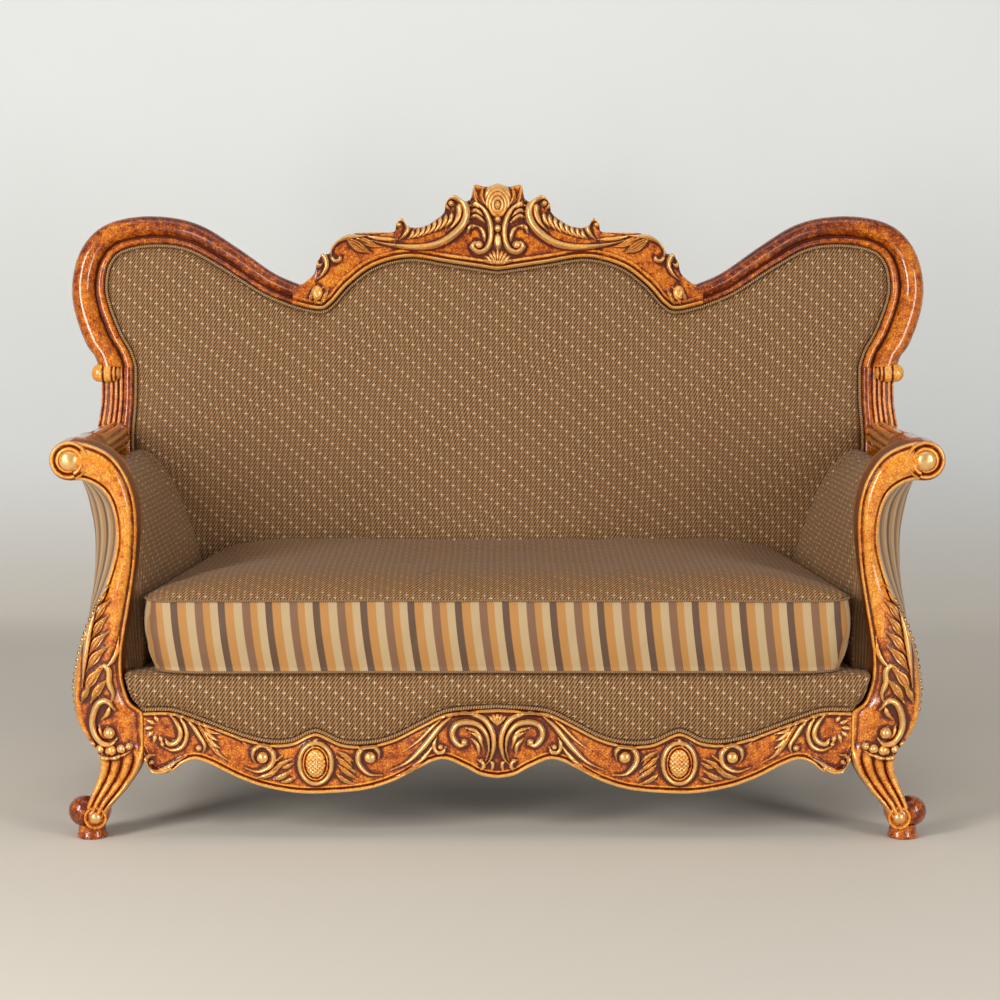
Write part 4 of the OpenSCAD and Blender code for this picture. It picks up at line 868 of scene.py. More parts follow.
def apron():
    x = np.linspace(JOINT, -JOINT, APRON_GRID[0])
    low, top = over(x, apron_low), over(x, apron_top)
    f, z, low_d, top_d = between(x, low, top, APRON_GRID[1])
    base = 1.5 + 1.5 * np.sin(math.pi * f) + 0 * z
    base = np.maximum(base, bead(top_d, *APRON_TOP_BEAD, 6)) - 1.5 * groove(top_d, *APRON_TOP_GROOVE)
    base = np.maximum(base, bead(low_d, *APRON_LOW_BEAD, 7)) - 1.5 * groove(low_d, *APRON_LOW_GROOVE)
    base = np.maximum(base, bead(low_d, *APRON_INNER_BEAD, 3.5))
    h, gilt = Relief(left_half(x, z), on_front(APRON_PLANE), APRON_PIXEL).carve(APRON_CARVING)
    gilt = (gilt + 0.35 * (bead(top_d, *APRON_TOP_BEAD, 1) > 0.2)
            + 0.4 * (bead(low_d, *APRON_INNER_BEAD, 1) > 0.2)
            + 0.25 * (bead(low_d, *APRON_LOW_BEAD, 1) > 0.4))
    o = carved_ribbon("front_apron_carved", np.stack([x, low], 1), np.stack([x, top], 1), base + h,
                      np.clip(gilt, 0, 1), APRON_Y + 4, APRON_Y + APRON_T, upright, edge_r=4)
    return sharpen(o, 55)


def crest():
    line_in, line_out = back_line(CREST_IN), back_line(CREST_OUT)
    line_out = np.vstack([line_in[0] + CREST_END, line_out])
    x = np.linspace(line_in[0, 0] + 2, -line_in[0, 0] - 2, CREST_GRID[0])
    low, top = over(x, line_in), over(x, line_out)
    f, v, low_d, _ = between(x, low, top, CREST_GRID[1])
    base = 2 + 2.5 * np.sin(math.pi * f) + 0 * v
    base = np.maximum(base, bead(low_d, *CREST_LOW_BEAD, 8)) - 2 * groove(low_d, *CREST_GROOVE)
    base = np.maximum(base, bead(low_d, *CREST_INNER_BEAD, 6))
    h, gilt = Relief(left_half(x, v), on_rake(CREST_PLANE), CREST_PIXEL).carve(CREST_CARVING)
    gilt = (gilt + 0.35 * (bead(low_d, *CREST_LOW_BEAD, 1) > 0.3)
            + 0.1 * (bead(low_d, *CREST_INNER_BEAD, 1) > 0.3))
    o = carved_ribbon("crest_rail_carved", np.stack([x, low], 1), np.stack([x, top], 1), base + h,
                      np.clip(gilt, 0, 1), 3 - CREST_PROUD, BACK_T, back_space, edge_r=6)
    return sharpen(o, 55)


# Mouldings of the back frame and the arm rolls


def arc(x, b, r, start, end, count):
    """Points of an arc round x and depth b, between two angles in degrees."""
    a = np.radians(np.linspace(start, end, count))
    return np.stack([x + r * np.cos(a), b - r * np.sin(a)], 1)


EAR_END_W = 44
EAR_LEAD = 66
EAR_SECTION_W = 66
EAR_SECTION = np.vstack([
    [(0, 47), (0, 20)], arc(7.5, 0, 7.5, 180, 10, 14), [(16.5, 3.5)],
    arc(42, 5, 23.5, 176, -20, 34), [(61, 27), (57, 39), (52, 47)]])
# Tone at points across the section. The groove is painted dark as painted shade.
EAR_TONES = [(0, -0.3), (1, -0.3), (3, -0.12), (8, 0.02), (14, -0.15), (16, -0.8), (20, -0.10),
             (30, -0.02), (len(EAR_SECTION) - 1, -0.3)]


def ear():
    """The round moulding from the collar over the top to the crest. It thins towards the crest."""
    line = even(back_line(EAR_IN), 260)
    n = normals(line)
    crest_start = back_line(CREST_IN)[2]
    end = np.array([crest_start[1] - line[-6, 1], line[-6, 0] - crest_start[0]])
    n[0], n[-1] = (1, 0), end / np.linalg.norm(end)
    n[:EAR_LEAD] = [1, 0] + (n[:EAR_LEAD] - [1, 0]) * np.linspace(0, 1, EAR_LEAD)[:, None]
    n /= np.linalg.norm(n, axis=1)[:, None]
    t = np.linspace(0, 1, len(line))[:, None]
    w = (EAR_W + (EAR_END_W - EAR_W) * smoothstep(t)) / EAR_SECTION_W
    s, b = EAR_SECTION.T
    rings = back_space(line[:, :1] + n[:, :1] * s * w, np.where(b < 8, b * w, b),
                       line[:, 1:] + n[:, 1:] * s * w)
    tones = np.interp(np.arange(len(s)), *np.transpose(EAR_TONES))
    # Painted shade: the ear is painted lighter near the collar and darker up towards the crest.
    tones = tones + 0.10 - 0.26 * smoothstep(t, 0.22, 0.55)
    return sharpen(loft("back_ear_right_moulding", rings, tones=tones), 60)


def post_rows(x, b):
    """Rows across the front of a back post, carried round its rear by three corners."""
    one = np.ones((len(x), 1))
    return (np.hstack([x[:, :1], x, x[:, -1:], x[:, -1:] - 5]),
            np.hstack([BACK_T * one, b + 0 * x, (BACK_T - 6) * one, BACK_T * one]))


FLUTES_AT = 0.32
LEG_KICK, LEG_SPLAY = 95, 14


def back_post():
    """Rear leg, reeded stile and the gilt collar under the ear."""
    inner, outer = back_line(STILE_IN), back_line(STILE_OUT)
    v = np.linspace(0, inner[-1, 1], 150)
    x_in, x_out = (np.interp(v, c[:, 1], c[:, 0])[:, None] for c in (inner, outer))
    f = np.linspace(0, 1, 56)
    side = 1 - np.sqrt(np.clip(1 - (2 * f - 1) ** 8, 0, 1))
    # The leg kicks back and in towards the floor
    h = np.linspace(0, 0.97, 26)[:, None]
    k = np.clip(1 - h / 0.6, 0, 1) ** 2
    foot_in, foot_out = x_in[0] - LEG_SPLAY * k, x_out[0] - LEG_SPLAY * k
    x, b = post_rows(foot_in + (foot_out - foot_in) * f, 5 * side)
    leg = upright(x, BACK_Y + LEG_KICK * k + b, h * (RAIL_TOP - BACK_T * math.sin(RAKE)))
    # The stile has a lip on its inner side and flutes on the rest, above the seat
    reeded = smoothstep(v / BACK_LEN, 0.40, 0.47)[:, None]
    share = (f - FLUTES_AT) / (1 - FLUTES_AT)
    flutes = np.where(share < 0, 0.0, reeds(share, 0, 4.5) ** 0.6)
    b = 5 * side + reeded * (3 * (f > 0.3) - 6 * groove(f, 0.07, 0.07) - 5.5 * flutes)
    x, b = post_rows(x_in * (1 - f) + x_out * f, b)
    # Painted shade between the flutes; their tops are gilt.
    tones = np.pad(np.where(share > 0, 1.2 * flutes - 0.95, -0.15) * reeded, ((0, 0), (1, 2)))
    tones = np.vstack([np.full(leg.shape[:2], -0.1), tones])
    body = loft("post", np.concatenate([leg, back_space(x, b, v[:, None])]), tones=tones)
    return joined("back_post_right_reeded", [sharpen(body, 50), collar(*inner[-1])])


def collar(x, top):
    """A grooved roll that stands as proud as the ear above it."""
    q = np.linspace(0, 1, 72)[:, None]
    grooves = sum(groove(q, at, 0.03) for at in (0.13, 0.27, 0.58))
    r = 0.6 + 15 * np.clip(1 - np.abs(2 * q - 1) ** 4, 0, 1) ** 0.5 - 2.6 * grooves
    a = np.linspace(0, CIRCLE, 44, endpoint=False)
    rings = back_space(x + (0.36 + 0.80 * q) * EAR_W, -8 - r * np.cos(a),
                       top - 12 + 1.18 * r * np.sin(a))
    # Painted shade in the grooves.
    return loft("collar", rings, tones=0.40 - 1.5 * grooves + 0 * a)


ROLL_END_DROP = 65


def arm_roll():
    """The roll on top of an arm, with a leaf carved where it meets the back."""
    t = np.linspace(0, 1, 180)[:, None]
    stile_x = (STILE_IN[-1][0] + STILE_OUT[-1][0]) / 2 * BACK_HALF
    x_end, z_end = stile_x + 5, ARM_H - ROLL_END_DROP
    y_end = BACK_Y + (z_end - RAIL_TOP) * math.tan(RAKE) - 0.5
    a = np.linspace(0, CIRCLE, 64, endpoint=False)
    leafy = smoothstep(t, 0.34, 0.42) * (1 - 0.25 * smoothstep(t, 0.97, 1))
    grooves = np.abs(np.sin(6 * a + 4 * (t - 0.34) ** 2)) ** 0.5
    r = 32 - np.sin(math.pi * t) + leafy * (4.2 * grooves - 4.5) * (np.sin(a) > -0.5)
    r = r + 1.5 * groove(t, 0.33, 0.012) - 1.5 * groove(t, 0.355, 0.01)
    x = ARM_HALF - ROLL_R + (x_end - ARM_HALF + ROLL_R) * t
    z = ARM_H - ROLL_R + (ROLL_R - ROLL_END_DROP) * t
    rings = upright(x + r * np.cos(a), POST_REAR + GAP + (y_end - POST_REAR) * t, z + r * np.sin(a))
    rings[-2:, :, 1] += (rings[-2:, :, 2] - z_end) * math.tan(RAKE)
    # Painted shade in the grooves of the leaf.
    tones = np.where(leafy > 0.5, 1.3 * grooves - 0.95, -0.28)
    return sharpen(loft("arm_roll_right_carved", rings, tones=tones), 60)


# Upholstery

REBATE_W, REBATE_B, PAD_LOW = 8.9, 2.0, DECK - RAIL_TOP
PAD_REAR_B = 12.2
EDGE_RISE, EDGE_REACH, CROWN_RISE, CROWN_REACH = 0.40, 6, 0.62, 75
PAD_SHARES = np.r_[0.004, 0.01, 0.018, 0.03, 0.05, np.linspace(0.08, 0.985, 24)]
lip = even_ring(inset(REBATE_W, PAD_LOW), 600)
lip_line = np.vstack([lip, lip[:1]])


def back_depth(points):
    """How far in front of the frame the inside back stands, at points (x, distance up the rake)."""
    d = nearest(points, lip_line)[0]
    step = np.linalg.norm(lip[1] - lip[0])
    pull = sum(step / np.maximum(np.linalg.norm(points - p, axis=1), 6) ** 3 for p in lip)
    deep = np.sqrt(2 / pull)
    edge = EDGE_RISE * (1 - np.exp(-d / EDGE_REACH))
    return REBATE_B - CROWN * (edge + CROWN_RISE * (1 - np.exp(-deep / CROWN_REACH)))


def ripples(p, seed, size):
    """Smooth uneven waves over points in mm, about -1 to 1."""
    rng = np.random.default_rng(seed)
    out = np.zeros(p.shape[:-1])
    for k in range(3):
        for _ in range(5):
            w = rng.normal(size=p.shape[-1]) * CIRCLE / size * (1.0 + 0.8 * k)
            out += np.sin(p @ w + rng.uniform(0, 6.3)) / (5 * (1 + k))
    return out


def back_pad():
    """The inside back, whose crown follows from the distance to its edge."""
    base = even_ring(inset(0.3, PAD_LOW), len(lip))
    lines = [base, base, lip]
    depths = [PAD_REAR_B, REBATE_B, REBATE_B]
    for share in PAD_SHARES:
        q = BACK_MIDDLE + (lip - BACK_MIDDLE) * (1 - share)
        lines.append(q)
        depths.append(back_depth(q) + 1.2 * ripples(q, 4, 150) * min(1, share * 10))
    rings = [back_space(q[:, 0], b, q[:, 1]) for q, b in zip(lines, depths)]
    # The cloth was never quite straight when it was tacked down
    uv = np.array([q + 7 * np.stack([ripples(q, 31, 420), ripples(q, 32, 420)], -1) for q in lines])
    return loft("back_pad_upholstered", rings, uv=uv)


PAD_FRONT = [
    (0.90, 0), (0.925, 0.10), (0.925, 0.20), (0.92, 0.33), (0.92, 0.47), (0.925, 0.615),
    (0.90, 0.74), (0.81, 0.815), (0.67, 0.862), (0.51, 0.868), (0.46, 0.845), (0.52, 0.79),
    (0.66, 0.735), (0.745, 0.647), (0.76, 0.55), (0.71, 0.45), (0.64, 0.33), (0.56, 0.15), (0.50, 0)]
PAD_REAR = [
    (0, 0), (0.02, 0.10), (0.05, 0.20), (0.12, 0.33), (0.21, 0.43), (0.31, 0.51), (0.43, 0.595),
    (0.56, 0.675), (0.71, 0.745), (0.84, 0.79), (0.94, 0.805), (0.985, 0.785), (0.97, 0.70),
    (0.93, 0.62), (0.88, 0.53), (0.84, 0.44), (0.82, 0.33), (0.81, 0.15), (0.80, 0)]
PAD_REAR_HALF, PAD_LIFT, PAD_TURN = 575, 3.3, 12


def arm_pad():
    """An inside arm, from the front post to the inside back. t runs along the arm, and run up its
    face, over and down behind."""
    x_end = STILE_IN[-1][0] * BACK_HALF
    z0 = RAIL_TOP + PAD_LIFT
    f = np.array(PAD_FRONT) * (-POST_W, ARM_H - z0) + (ARM_HALF, z0)
    r = np.array(PAD_REAR) * (x_end - PAD_REAR_HALF, ARM_H - z0) + (PAD_REAR_HALF, z0)
    f, r = (even(spline(c, 5), 91) for c in (f, r))
    t = np.r_[np.linspace(0, 0.7, 34)[:-1], np.linspace(0.7, 1, 34)][:, None]
    n = normals(f)
    run = run_along(f)
    seen = smoothstep(run, 25, 80) * (1 - smoothstep(run, 470, 520))
    # It swells, with gathers that fan out of the corner under the arm roll
    fan = (1 - t) * 2.2 + run / 300
    gathers = np.sin(17 * fan + 1.3 * np.sin(5 * fan)) * smoothstep(t, 0.25, 0.6)
    gathers = gathers * (1 - smoothstep(t, 0.78, 0.96))
    swell = (6 * np.sin(math.pi * np.clip(t, 0, 1)) ** 0.6 + 1.5 * gathers) * seen
    x, z = (f[:, k] + (r[:, k] - f[:, k]) * t - n[:, k] * swell for k in (0, 1))
    # The rear end turns in and lies on the inside back
    turn = PAD_TURN * smoothstep(t, 0.80, 1) ** 2 * smoothstep(z, 440, 610)
    x = x - turn * (1 - smoothstep(run, 400, 470))
    v = (r[:, 1] - RAIL_TOP) / math.cos(RAKE)
    b = back_depth(np.stack([np.minimum(x[-1], x_end - PAD_TURN), np.maximum(v, PAD_LOW + 2)], 1))
    y_end = BACK_Y + (r[:, 1] - RAIL_TOP) * math.tan(RAKE) + (b - 1) / math.cos(RAKE)
    y = POST_REAR + GAP + (y_end - POST_REAR - GAP) * t
    u = (y - y_end) * (0.72 + 0.28 * np.clip(run / 420, 0, 1)[::-1])
    o = loft("arm_pad_right_upholstered", upright(x, y, z), uv=np.stack([u, run + 0 * x], -1))
    pinned = ((t < 0.03) | (t > 0.93) | (seen < 0.3)).ravel()
    return settle(o, pinned, pressure=1.5, ease=0.02, cap=3.0)


# The outside arm: its front line, its rear line as shares and how much the rake lowers each point,
# and how far it swells outward
PANEL_FRONT = [
    (0.31, 0.248), (0.235, 0.278), (0.165, 0.308), (0.14, 0.365), (0.18, 0.425), (0.24, 0.48),
    (0.335, 0.535), (0.465, 0.59), (0.60, 0.655), (0.685, 0.72), (0.70, 0.78), (0.64, 0.83),
    (0.47, 0.87), (0.245, 0.899)]
PANEL_REAR = [
    (0.17, 0.248, 0), (0.115, 0.278, 0), (0.06, 0.308, 0), (0.046, 0.365, 0), (0.046, 0.425, 0),
    (0.046, 0.48, 0), (0.046, 0.535, 0), (0.046, 0.59, 0), (0.046, 0.655, 0), (0.046, 0.72, 0.1),
    (0.046, 0.7675, 0.3), (0.07, 0.824, 0.7), (0.13, 0.8735, 1), (0.30, 0.8985, 1)]
PANEL_DROP = 30
PANEL_SWELL = [0, 0.02, 0.03, 0.04, 0.05, 0.07, 0.11, 0.15, 0.20, 0.24, 0.27, 0.27, 0.22, 0.13]
PANEL_T = 5.0


def arm_panel():
    f = spline(np.array(PANEL_FRONT) * (-POST_W, ARM_H) + (ARM_HALF, 0), 6)
    share, height, drop = np.array(PANEL_REAR).T
    z = height * ARM_H - drop * PANEL_DROP
    stile = back_line(STILE_OUT)
    x = np.interp((z - RAIL_TOP) / math.cos(RAKE), stile[:, 1], stile[:, 0]) - share * EAR_W
    r = spline(np.stack([x, z], 1), 6)
    bulge = spline([(k, q * POST_W) for k, q in enumerate(PANEL_SWELL)], 6)[:, 1]
    t = np.r_[0, 0.008, 0.016, np.linspace(0.03, 1, 56)][:, None]
    n = normals(f)
    run = run_along(f)
    puff = 2.5 * np.sin(math.pi * t) ** 0.8 * np.sin(math.pi * run / run[-1])
    side = smoothstep(t, 0, 0.35) * (1 - smoothstep(t, 0.55, 1)) * bulge
    layers, flat = [], []
    for d, order in ((puff, slice(None, None, -1)), (-PANEL_T, slice(None))):
        x, z = (f[:, k] + (r[:, k] - f[:, k]) * t + n[:, k] * d for k in (0, 1))
        end = BACK_Y + np.maximum(z - RAIL_TOP, 0) * math.tan(RAKE) - 0.8
        y = POST_REAR + GAP + (end - POST_REAR) * t
        layers.append(upright(x + side, y, z)[:, order])
        flat.append(np.stack([y, run + 0 * y], -1)[:, order])
    o = loft("arm_panel_right_striped", np.concatenate(layers, 1), uv=np.concatenate(flat, 1))
    return sharpen(o, 60)


BORDER_ENDS = [(0.785, 0.40), (0.80, 0.38), (0.85, 0.354), (0.90, 0.342), (0.965, 0.323)]
BORDER_PROFILE = [
    (0, 0.16), (0.12, 0.04), (0.35, -0.06), (0.6, -0.05), (0.82, 0.07), (0.94, 0.25), (1, 0.55), (1, 1)]

BORDER_FOOT_H, BORDER_FOOT_Y, BORDER_FRONT = 10.1, 8.3, 6


def border():
    """The puffed front edge of the platform, above the apron."""
    ends = np.array(BORDER_ENDS) * (-POST_W, ARM_H) + (ARM_HALF, 0)
    x, low = even(both_sides(np.vstack([ends, apron_top[1:]])), 420).T
    z0 = low + 0.3
    z1 = z0 + BORDER_FOOT_H
    h = DECK - CLOTH_T - z1
    front, rear = FRONT + BORDER_FRONT, APRON_Y + APRON_T
    wave = ripples(np.r_[0, np.cumsum(np.abs(np.diff(x)))][:, None], 8, 160)
    columns = [(rear, z0)]
    for s, d in spline(BORDER_PROFILE, 5)[::-1]:
        puff = wave * (1 - d) * math.sin(math.pi * s)
        columns.append((front + (rear - front) * d + puff, z1 + s * h))
    columns += [(APRON_Y + BORDER_FOOT_Y, z) for z in (z1, z0)]
    rings = np.stack([upright(x, y, z) for y, z in columns], 1)
    down = np.cumsum(np.linalg.norm(np.diff(rings[:, 1:, 1:], axis=1), axis=2), axis=1)
    uv = np.stack([rings[..., 0], np.pad(-down, ((0, 0), (2, 0)))], -1)
    return sharpen(loft("deck_front_border_upholstered", rings, uv=uv), 70)


def deck():
    """The platform under the cushion, narrower behind the posts."""
    (_, front, z0), (half, _, z1) = node_box("deck_pad")
    inner = ARM_HALF - 0.925 * POST_W - 0.3
    stop = BACK_Y - CROWN / math.cos(RAKE) - 0.3
    right = np.array([(half, front), (half, POST_REAR), (inner, POST_REAR + 0.3),
                      (DECK_REAR_HALF, stop), (DECK_REAR_HALF, BACK_Y - 0.3)])
    line = np.vstack([right, right[::-1] * (-1, 1)])
    sides = zip(line, np.roll(line, -1, 0))
    line = np.vstack([np.linspace(a, b, 12, endpoint=False) for a, b in sides])
    middle = line.mean(0)
    rings = []
    for z, k in [(z0, 0.999), (z1 - 4, 1.0), (z1 - 1.2, 0.9985), (z1, 0.994), (z1, 0.985), (z1, 0.6)]:
        q = middle + (line - middle) * k
        rings.append(upright(q[:, 0], q[:, 1], z))
    rings = np.array(rings)
    return sharpen(loft("deck_pad_upholstered", rings, uv=rings[..., :2]), 50)


CLOTH_FRAMES = 10


def stretch_cloth(mod, pressure, ease):
    """The settings of taut cloth that is pumped up."""
    c = mod.settings
    c.quality, c.mass, c.air_damping = 4, 0.35, 3.0
    c.tension_stiffness = c.compression_stiffness = 18
    c.shear_stiffness, c.bending_stiffness = 8, 1.2
    c.use_pressure, c.uniform_pressure_force = True, pressure
    c.shrink_min = c.shrink_max = -ease
    c.vertex_group_mass = "seams"
    c.effector_weights.gravity = 0
    mod.collision_settings.use_self_collision = False
    mod.collision_settings.use_collision = False
    mod.point_cache.frame_start, mod.point_cache.frame_end = 1, CLOTH_FRAMES


def settle(o, pinned, pressure, ease, cap, floor=None):
    """Cloth simulation of a closed padded piece: it is pumped up a little while pinned points,
    the seams and what is hidden, stay. ease is how much longer the cloth is than its place, and no
    point moves further than cap."""
    m = o.data
    old = vertices(m)
    group = o.vertex_groups.new(name="seams")
    group.add([int(i) for i in np.nonzero(pinned)[0]], 1.0, "REPLACE")
    mod = o.modifiers.new("cloth", "CLOTH")
    stretch_cloth(mod, pressure, ease)
    for f in range(1, CLOTH_FRAMES + 1):
        bpy.context.scene.frame_set(f)
    shape = o.evaluated_get(bpy.context.evaluated_depsgraph_get()).to_mesh()
    move = vertices(shape) - old
    o.modifiers.remove(mod)
    o.vertex_groups.remove(group)
    far = np.linalg.norm(move, axis=1)
    limit = cap * MM
    new = old + move * (limit * np.tanh(far / limit) / np.maximum(far, 1e-12))[:, None]
    if floor is not None:
        new[:, 2] = np.maximum(new[:, 2], floor * MM)
    m.vertices.foreach_set("co", new.ravel())
    m.update()
    bpy.context.scene.frame_set(1)
    return o


# Seat cushion

(_, C_FRONT, _), (C_HALF, C_REAR, _) = node_box("cushion_boxing")
C_REAR_HALF = 561.0
C_CORNER = 45
C_LOW, C_HIGH, C_CROWN = DECK - CLOTH_T, DECK + 133.0, 34.0
C_SHARES = np.r_[0.006, 0.014, 0.026, 0.045, 0.07, 0.10, np.linspace(0.14, 0.97, 15)]
C_LEVELS = np.linspace(0, 1, 12)
# How far the edge draws in, the lower corners draw in and the sides belly out
C_PULL, C_TUCK, C_BELLY = 5, 15, 5.5


def cushion_line():
    """The plan of the cushion with round corners, and the directions outward from it."""
    q = np.linspace(0, 90, 14)
    corners = [(C_REAR_HALF, C_REAR, 1, 1), (-C_REAR_HALF, C_REAR, -1, 1),
               (-C_HALF - 3, C_FRONT, -1, -1), (C_HALF + 3, C_FRONT, 1, -1)]
    arcs = []
    for k, (x, y, side, end) in enumerate(corners):
        a = np.radians(q + 90 * k)
        arcs.append(np.stack([x - side * C_CORNER + C_CORNER * np.cos(a),
                              y - end * C_CORNER + C_CORNER * np.sin(a)], 1))
    line = even_ring(np.vstack(arcs), 400)
    d = np.roll(line, -1, 0) - np.roll(line, 1, 0)
    return line, np.stack([d[:, 1], -d[:, 0]], 1) / np.linalg.norm(d, axis=1)[:, None]


def cushion():
    """Closed crowned cushion. The seams lie at the cords; the sides belly out between them. Gives
    the piece, the material of each face and the paths of the two seams."""
    line, out = cushion_line()
    middle = np.array([0, (C_FRONT + C_REAR) / 2])
    # Between its corners the edge draws in a little, and the lower corners draw in more
    pull = C_PULL * peak(line[:, 0], 0, 560) ** 0.7 + 2.0 * ripples(line, 3, 420)
    line = line - out * np.clip(pull, 0, 9)[:, None]
    tuck = C_TUCK * smoothstep(np.abs(line[:, 0]), 0.84 * C_HALF, C_HALF)
    low = line - out * tuck[:, None]
    seam_z = C_HIGH + 1.5 * ripples(line, 21, 500)
    rings = []
    for s in [*C_SHARES[::-1], 0]:
        q = middle + (low - middle) * (1 - s)
        rings.append(upright(*q.T, C_LOW + 3 - 2.7 * min(1, s * 60)))
    for v in C_LEVELS:
        belly = C_BELLY * math.sin(math.pi * v) ** 0.7 - 1.0 - tuck * (1 - v) ** 2.6
        waves = ripples(np.column_stack([line, np.full(len(line), v * 120)]), 6, 190)
        belly += 0.8 * waves * math.sin(math.pi * v)
        q = line + out * belly[:, None]
        rings.append(upright(*q.T, C_LOW + 3 + v * (seam_z - C_LOW - 5)))
    for s in C_SHARES:
        q = middle + (line - middle) * (1 - s)
        edge = max(1 - s * 6, 0)
        crown = C_CROWN * (1 - (1 - s) ** 8) ** 0.62 + 1.8 * ripples(q, 11, 260) * (1 - edge)
        rings.append(upright(*q.T, (seam_z - 2) * edge + (C_HIGH - 2) * (1 - edge) + crown))
    o = loft("seat_cushion_cover", rings, body="cushion")
    first, last = len(C_SHARES), len(C_SHARES) + len(C_LEVELS)
    ring_of = np.repeat(np.arange(len(rings)), len(line))
    pinned = (ring_of <= first + 2) | (np.abs(ring_of - last) <= 1) | (ring_of >= len(rings) - 5)
    settle(o, pinned, pressure=2.5, ease=0.006, cap=6.0, floor=C_LOW)
    kind = np.zeros(len(o.data.polygons), np.int32)
    kind[first * len(line):last * len(line)] = 1
    seams = [np.column_stack([path + out * 1.2, z])
             for path, z in ((line, seam_z - 1.5), (low, np.full(len(low), C_LOW + 3.2)))]
    return o, kind, seams


COVER_SHARES = (0.004, 0.012, 0.03, 0.06, 0.1, 0.16, 0.24, 0.34, 0.46, 0.6, 0.75, 0.9, 0.98)
COVER_EDGE_B, COVER_B, COVER_ROUND = [40.4, 44.5], 50.5, 5.5


def back_cover():
    """Outside back: a stretched panel on the frame and its lower strip over the seat rail."""
    edge = even(inset(0.4, 0.0), 481)
    depths = [COVER_B - COVER_ROUND * (1 - min(s * 2.2, 1)) ** 2 for s in COVER_SHARES]
    rings, flat = [], []
    for s, b in zip([0, 0, *COVER_SHARES], [*COVER_EDGE_B, *depths]):
        q = BACK_MIDDLE + (edge - BACK_MIDDLE) * (1 - s)
        rings.append(back_space(q[:, 0], b, q[:, 1]))
        flat.append(q)
    upper = loft("cover", rings, uv=np.array(flat))
    (_, _, z0), (_, y, z1) = node_box("back_seat_rail")
    half = STILE_IN[0][0] * BACK_HALF - 2.0
    s = np.linspace(-1, 1, 60)[:, None]
    z = np.linspace(z0, z1, 9)
    face = np.pad(5 + 2 * (1 - s * s) * np.sin(math.pi * (z - z0) / (z1 - z0)), ((0, 0), (1, 1)))
    rows = upright(s * half, y + GAP + face, np.r_[z0, z, z1])
    lower = loft("strip", rows, uv=rows[..., ::2])
    return sharpen(joined("back_panel_upholstered", [upper, lower]), 60)


# Materials. Colours are given as the eye sees them, from 0 to 255.


def srgb(*rgb):
    v = np.array(rgb) / 255
    return (*np.where(v < 0.0404, v / 12.92, ((v + 0.055) / 1.055) ** 2.4).tolist(), 1.0)


class Paint:
    """A procedural material, built node by node. Values may be numbers or outputs of nodes."""

    def __init__(self, name):
        self.m = bpy.data.materials.new(name)
        self.m.use_nodes = True
        self.t = self.m.node_tree
        self.shader = self.t.nodes["Principled BSDF"]
        self.out = self.t.nodes["Material Output"]

    def put(self, socket, v):
        if isinstance(v, bpy.types.NodeSocket):
            self.t.links.new(v, socket)
        else:
            socket.default_value = v

    def new(self, kind, *inputs, **settings):
        """A new node with its first inputs put in and its settings made."""
        n = self.t.nodes.new("ShaderNode" + kind)
        for k, v in settings.items():
            setattr(n, k, v)
        for i, v in enumerate(inputs):
            self.put(n.inputs[i], v)
        return n

    def node(self, kind, out=0, settings=None, **values):
        """An output of a new node whose inputs are put in by name."""
        n = self.new(kind, **(settings or {}))
        for k, v in values.items():
            self.put(n.inputs[k.replace("_", " ")], v)
        return n.outputs[out]

    def math(self, op, *args):
        return self.new("Math", *args, operation=op).outputs[0]

    def plus(self, a, b):
        return self.math("ADD", a, b)

    def minus(self, a, b):
        return self.math("SUBTRACT", a, b)

    def times(self, a, b):
        return self.math("MULTIPLY", a, b)

    def step(self, v, lo, hi):
        """Rises smoothly from 0 at lo to 1 at hi."""
        return self.new("MapRange", v, lo, hi, interpolation_type="SMOOTHSTEP").outputs[0]

    def wave(self, v, period, op="SINE"):
        """A wave between -1 and 1."""
        return self.math(op, self.times(v, CIRCLE / period))

    def half_wave(self, v, period, op="SINE"):
        """A wave between 0 and 1."""
        return self.plus(0.5, self.times(0.5, self.wave(v, period, op)))

    def mix(self, f, a, b):
        n = self.new("Mix", f, data_type="RGBA")
        self.put(n.inputs[6], a)
        self.put(n.inputs[7], b)
        return n.outputs[2]

    def ramp(self, f, *stops):
        n = self.new("ValToRGB", f)
        e = n.color_ramp.elements
        e[0].position, e[0].color = stops[0]
        e[1].position, e[1].color = stops[-1]
        for p, c in stops[1:-1]:
            e.new(p).color = c
        return n.outputs[0]

    def coords(self, kind="Object"):
        return self.new("TexCoord").outputs[kind]

    def parts(self, kind):
        """The three coordinates of a kind, one by one."""
        return self.new("SeparateXYZ", self.coords(kind)).outputs

    def in_mm(self, kind="UV"):
        return [self.times(v, 1 / MM) for v in self.parts(kind)]

    def noise(self, at, scale, detail=4.0, rough=0.6):
        return self.node("TexNoise", Vector=at, Scale=scale, Detail=detail, Roughness=rough)

    def bump(self, h, strength, distance):
        relief = self.node("Bump", Height=h, Strength=strength, Distance=distance)
        self.put(self.shader.inputs["Normal"], relief)

    def surface(self, **values):
        for k, v in values.items():
            self.put(self.shader.inputs[k.replace("_", " ")], v)
        return self.m


LACQUER = [
    (0.36, srgb(92, 27, 4)), (0.44, srgb(156, 66, 10)), (0.51, srgb(208, 110, 22)),
    (0.58, srgb(232, 146, 38)), (0.68, srgb(250, 182, 74))]


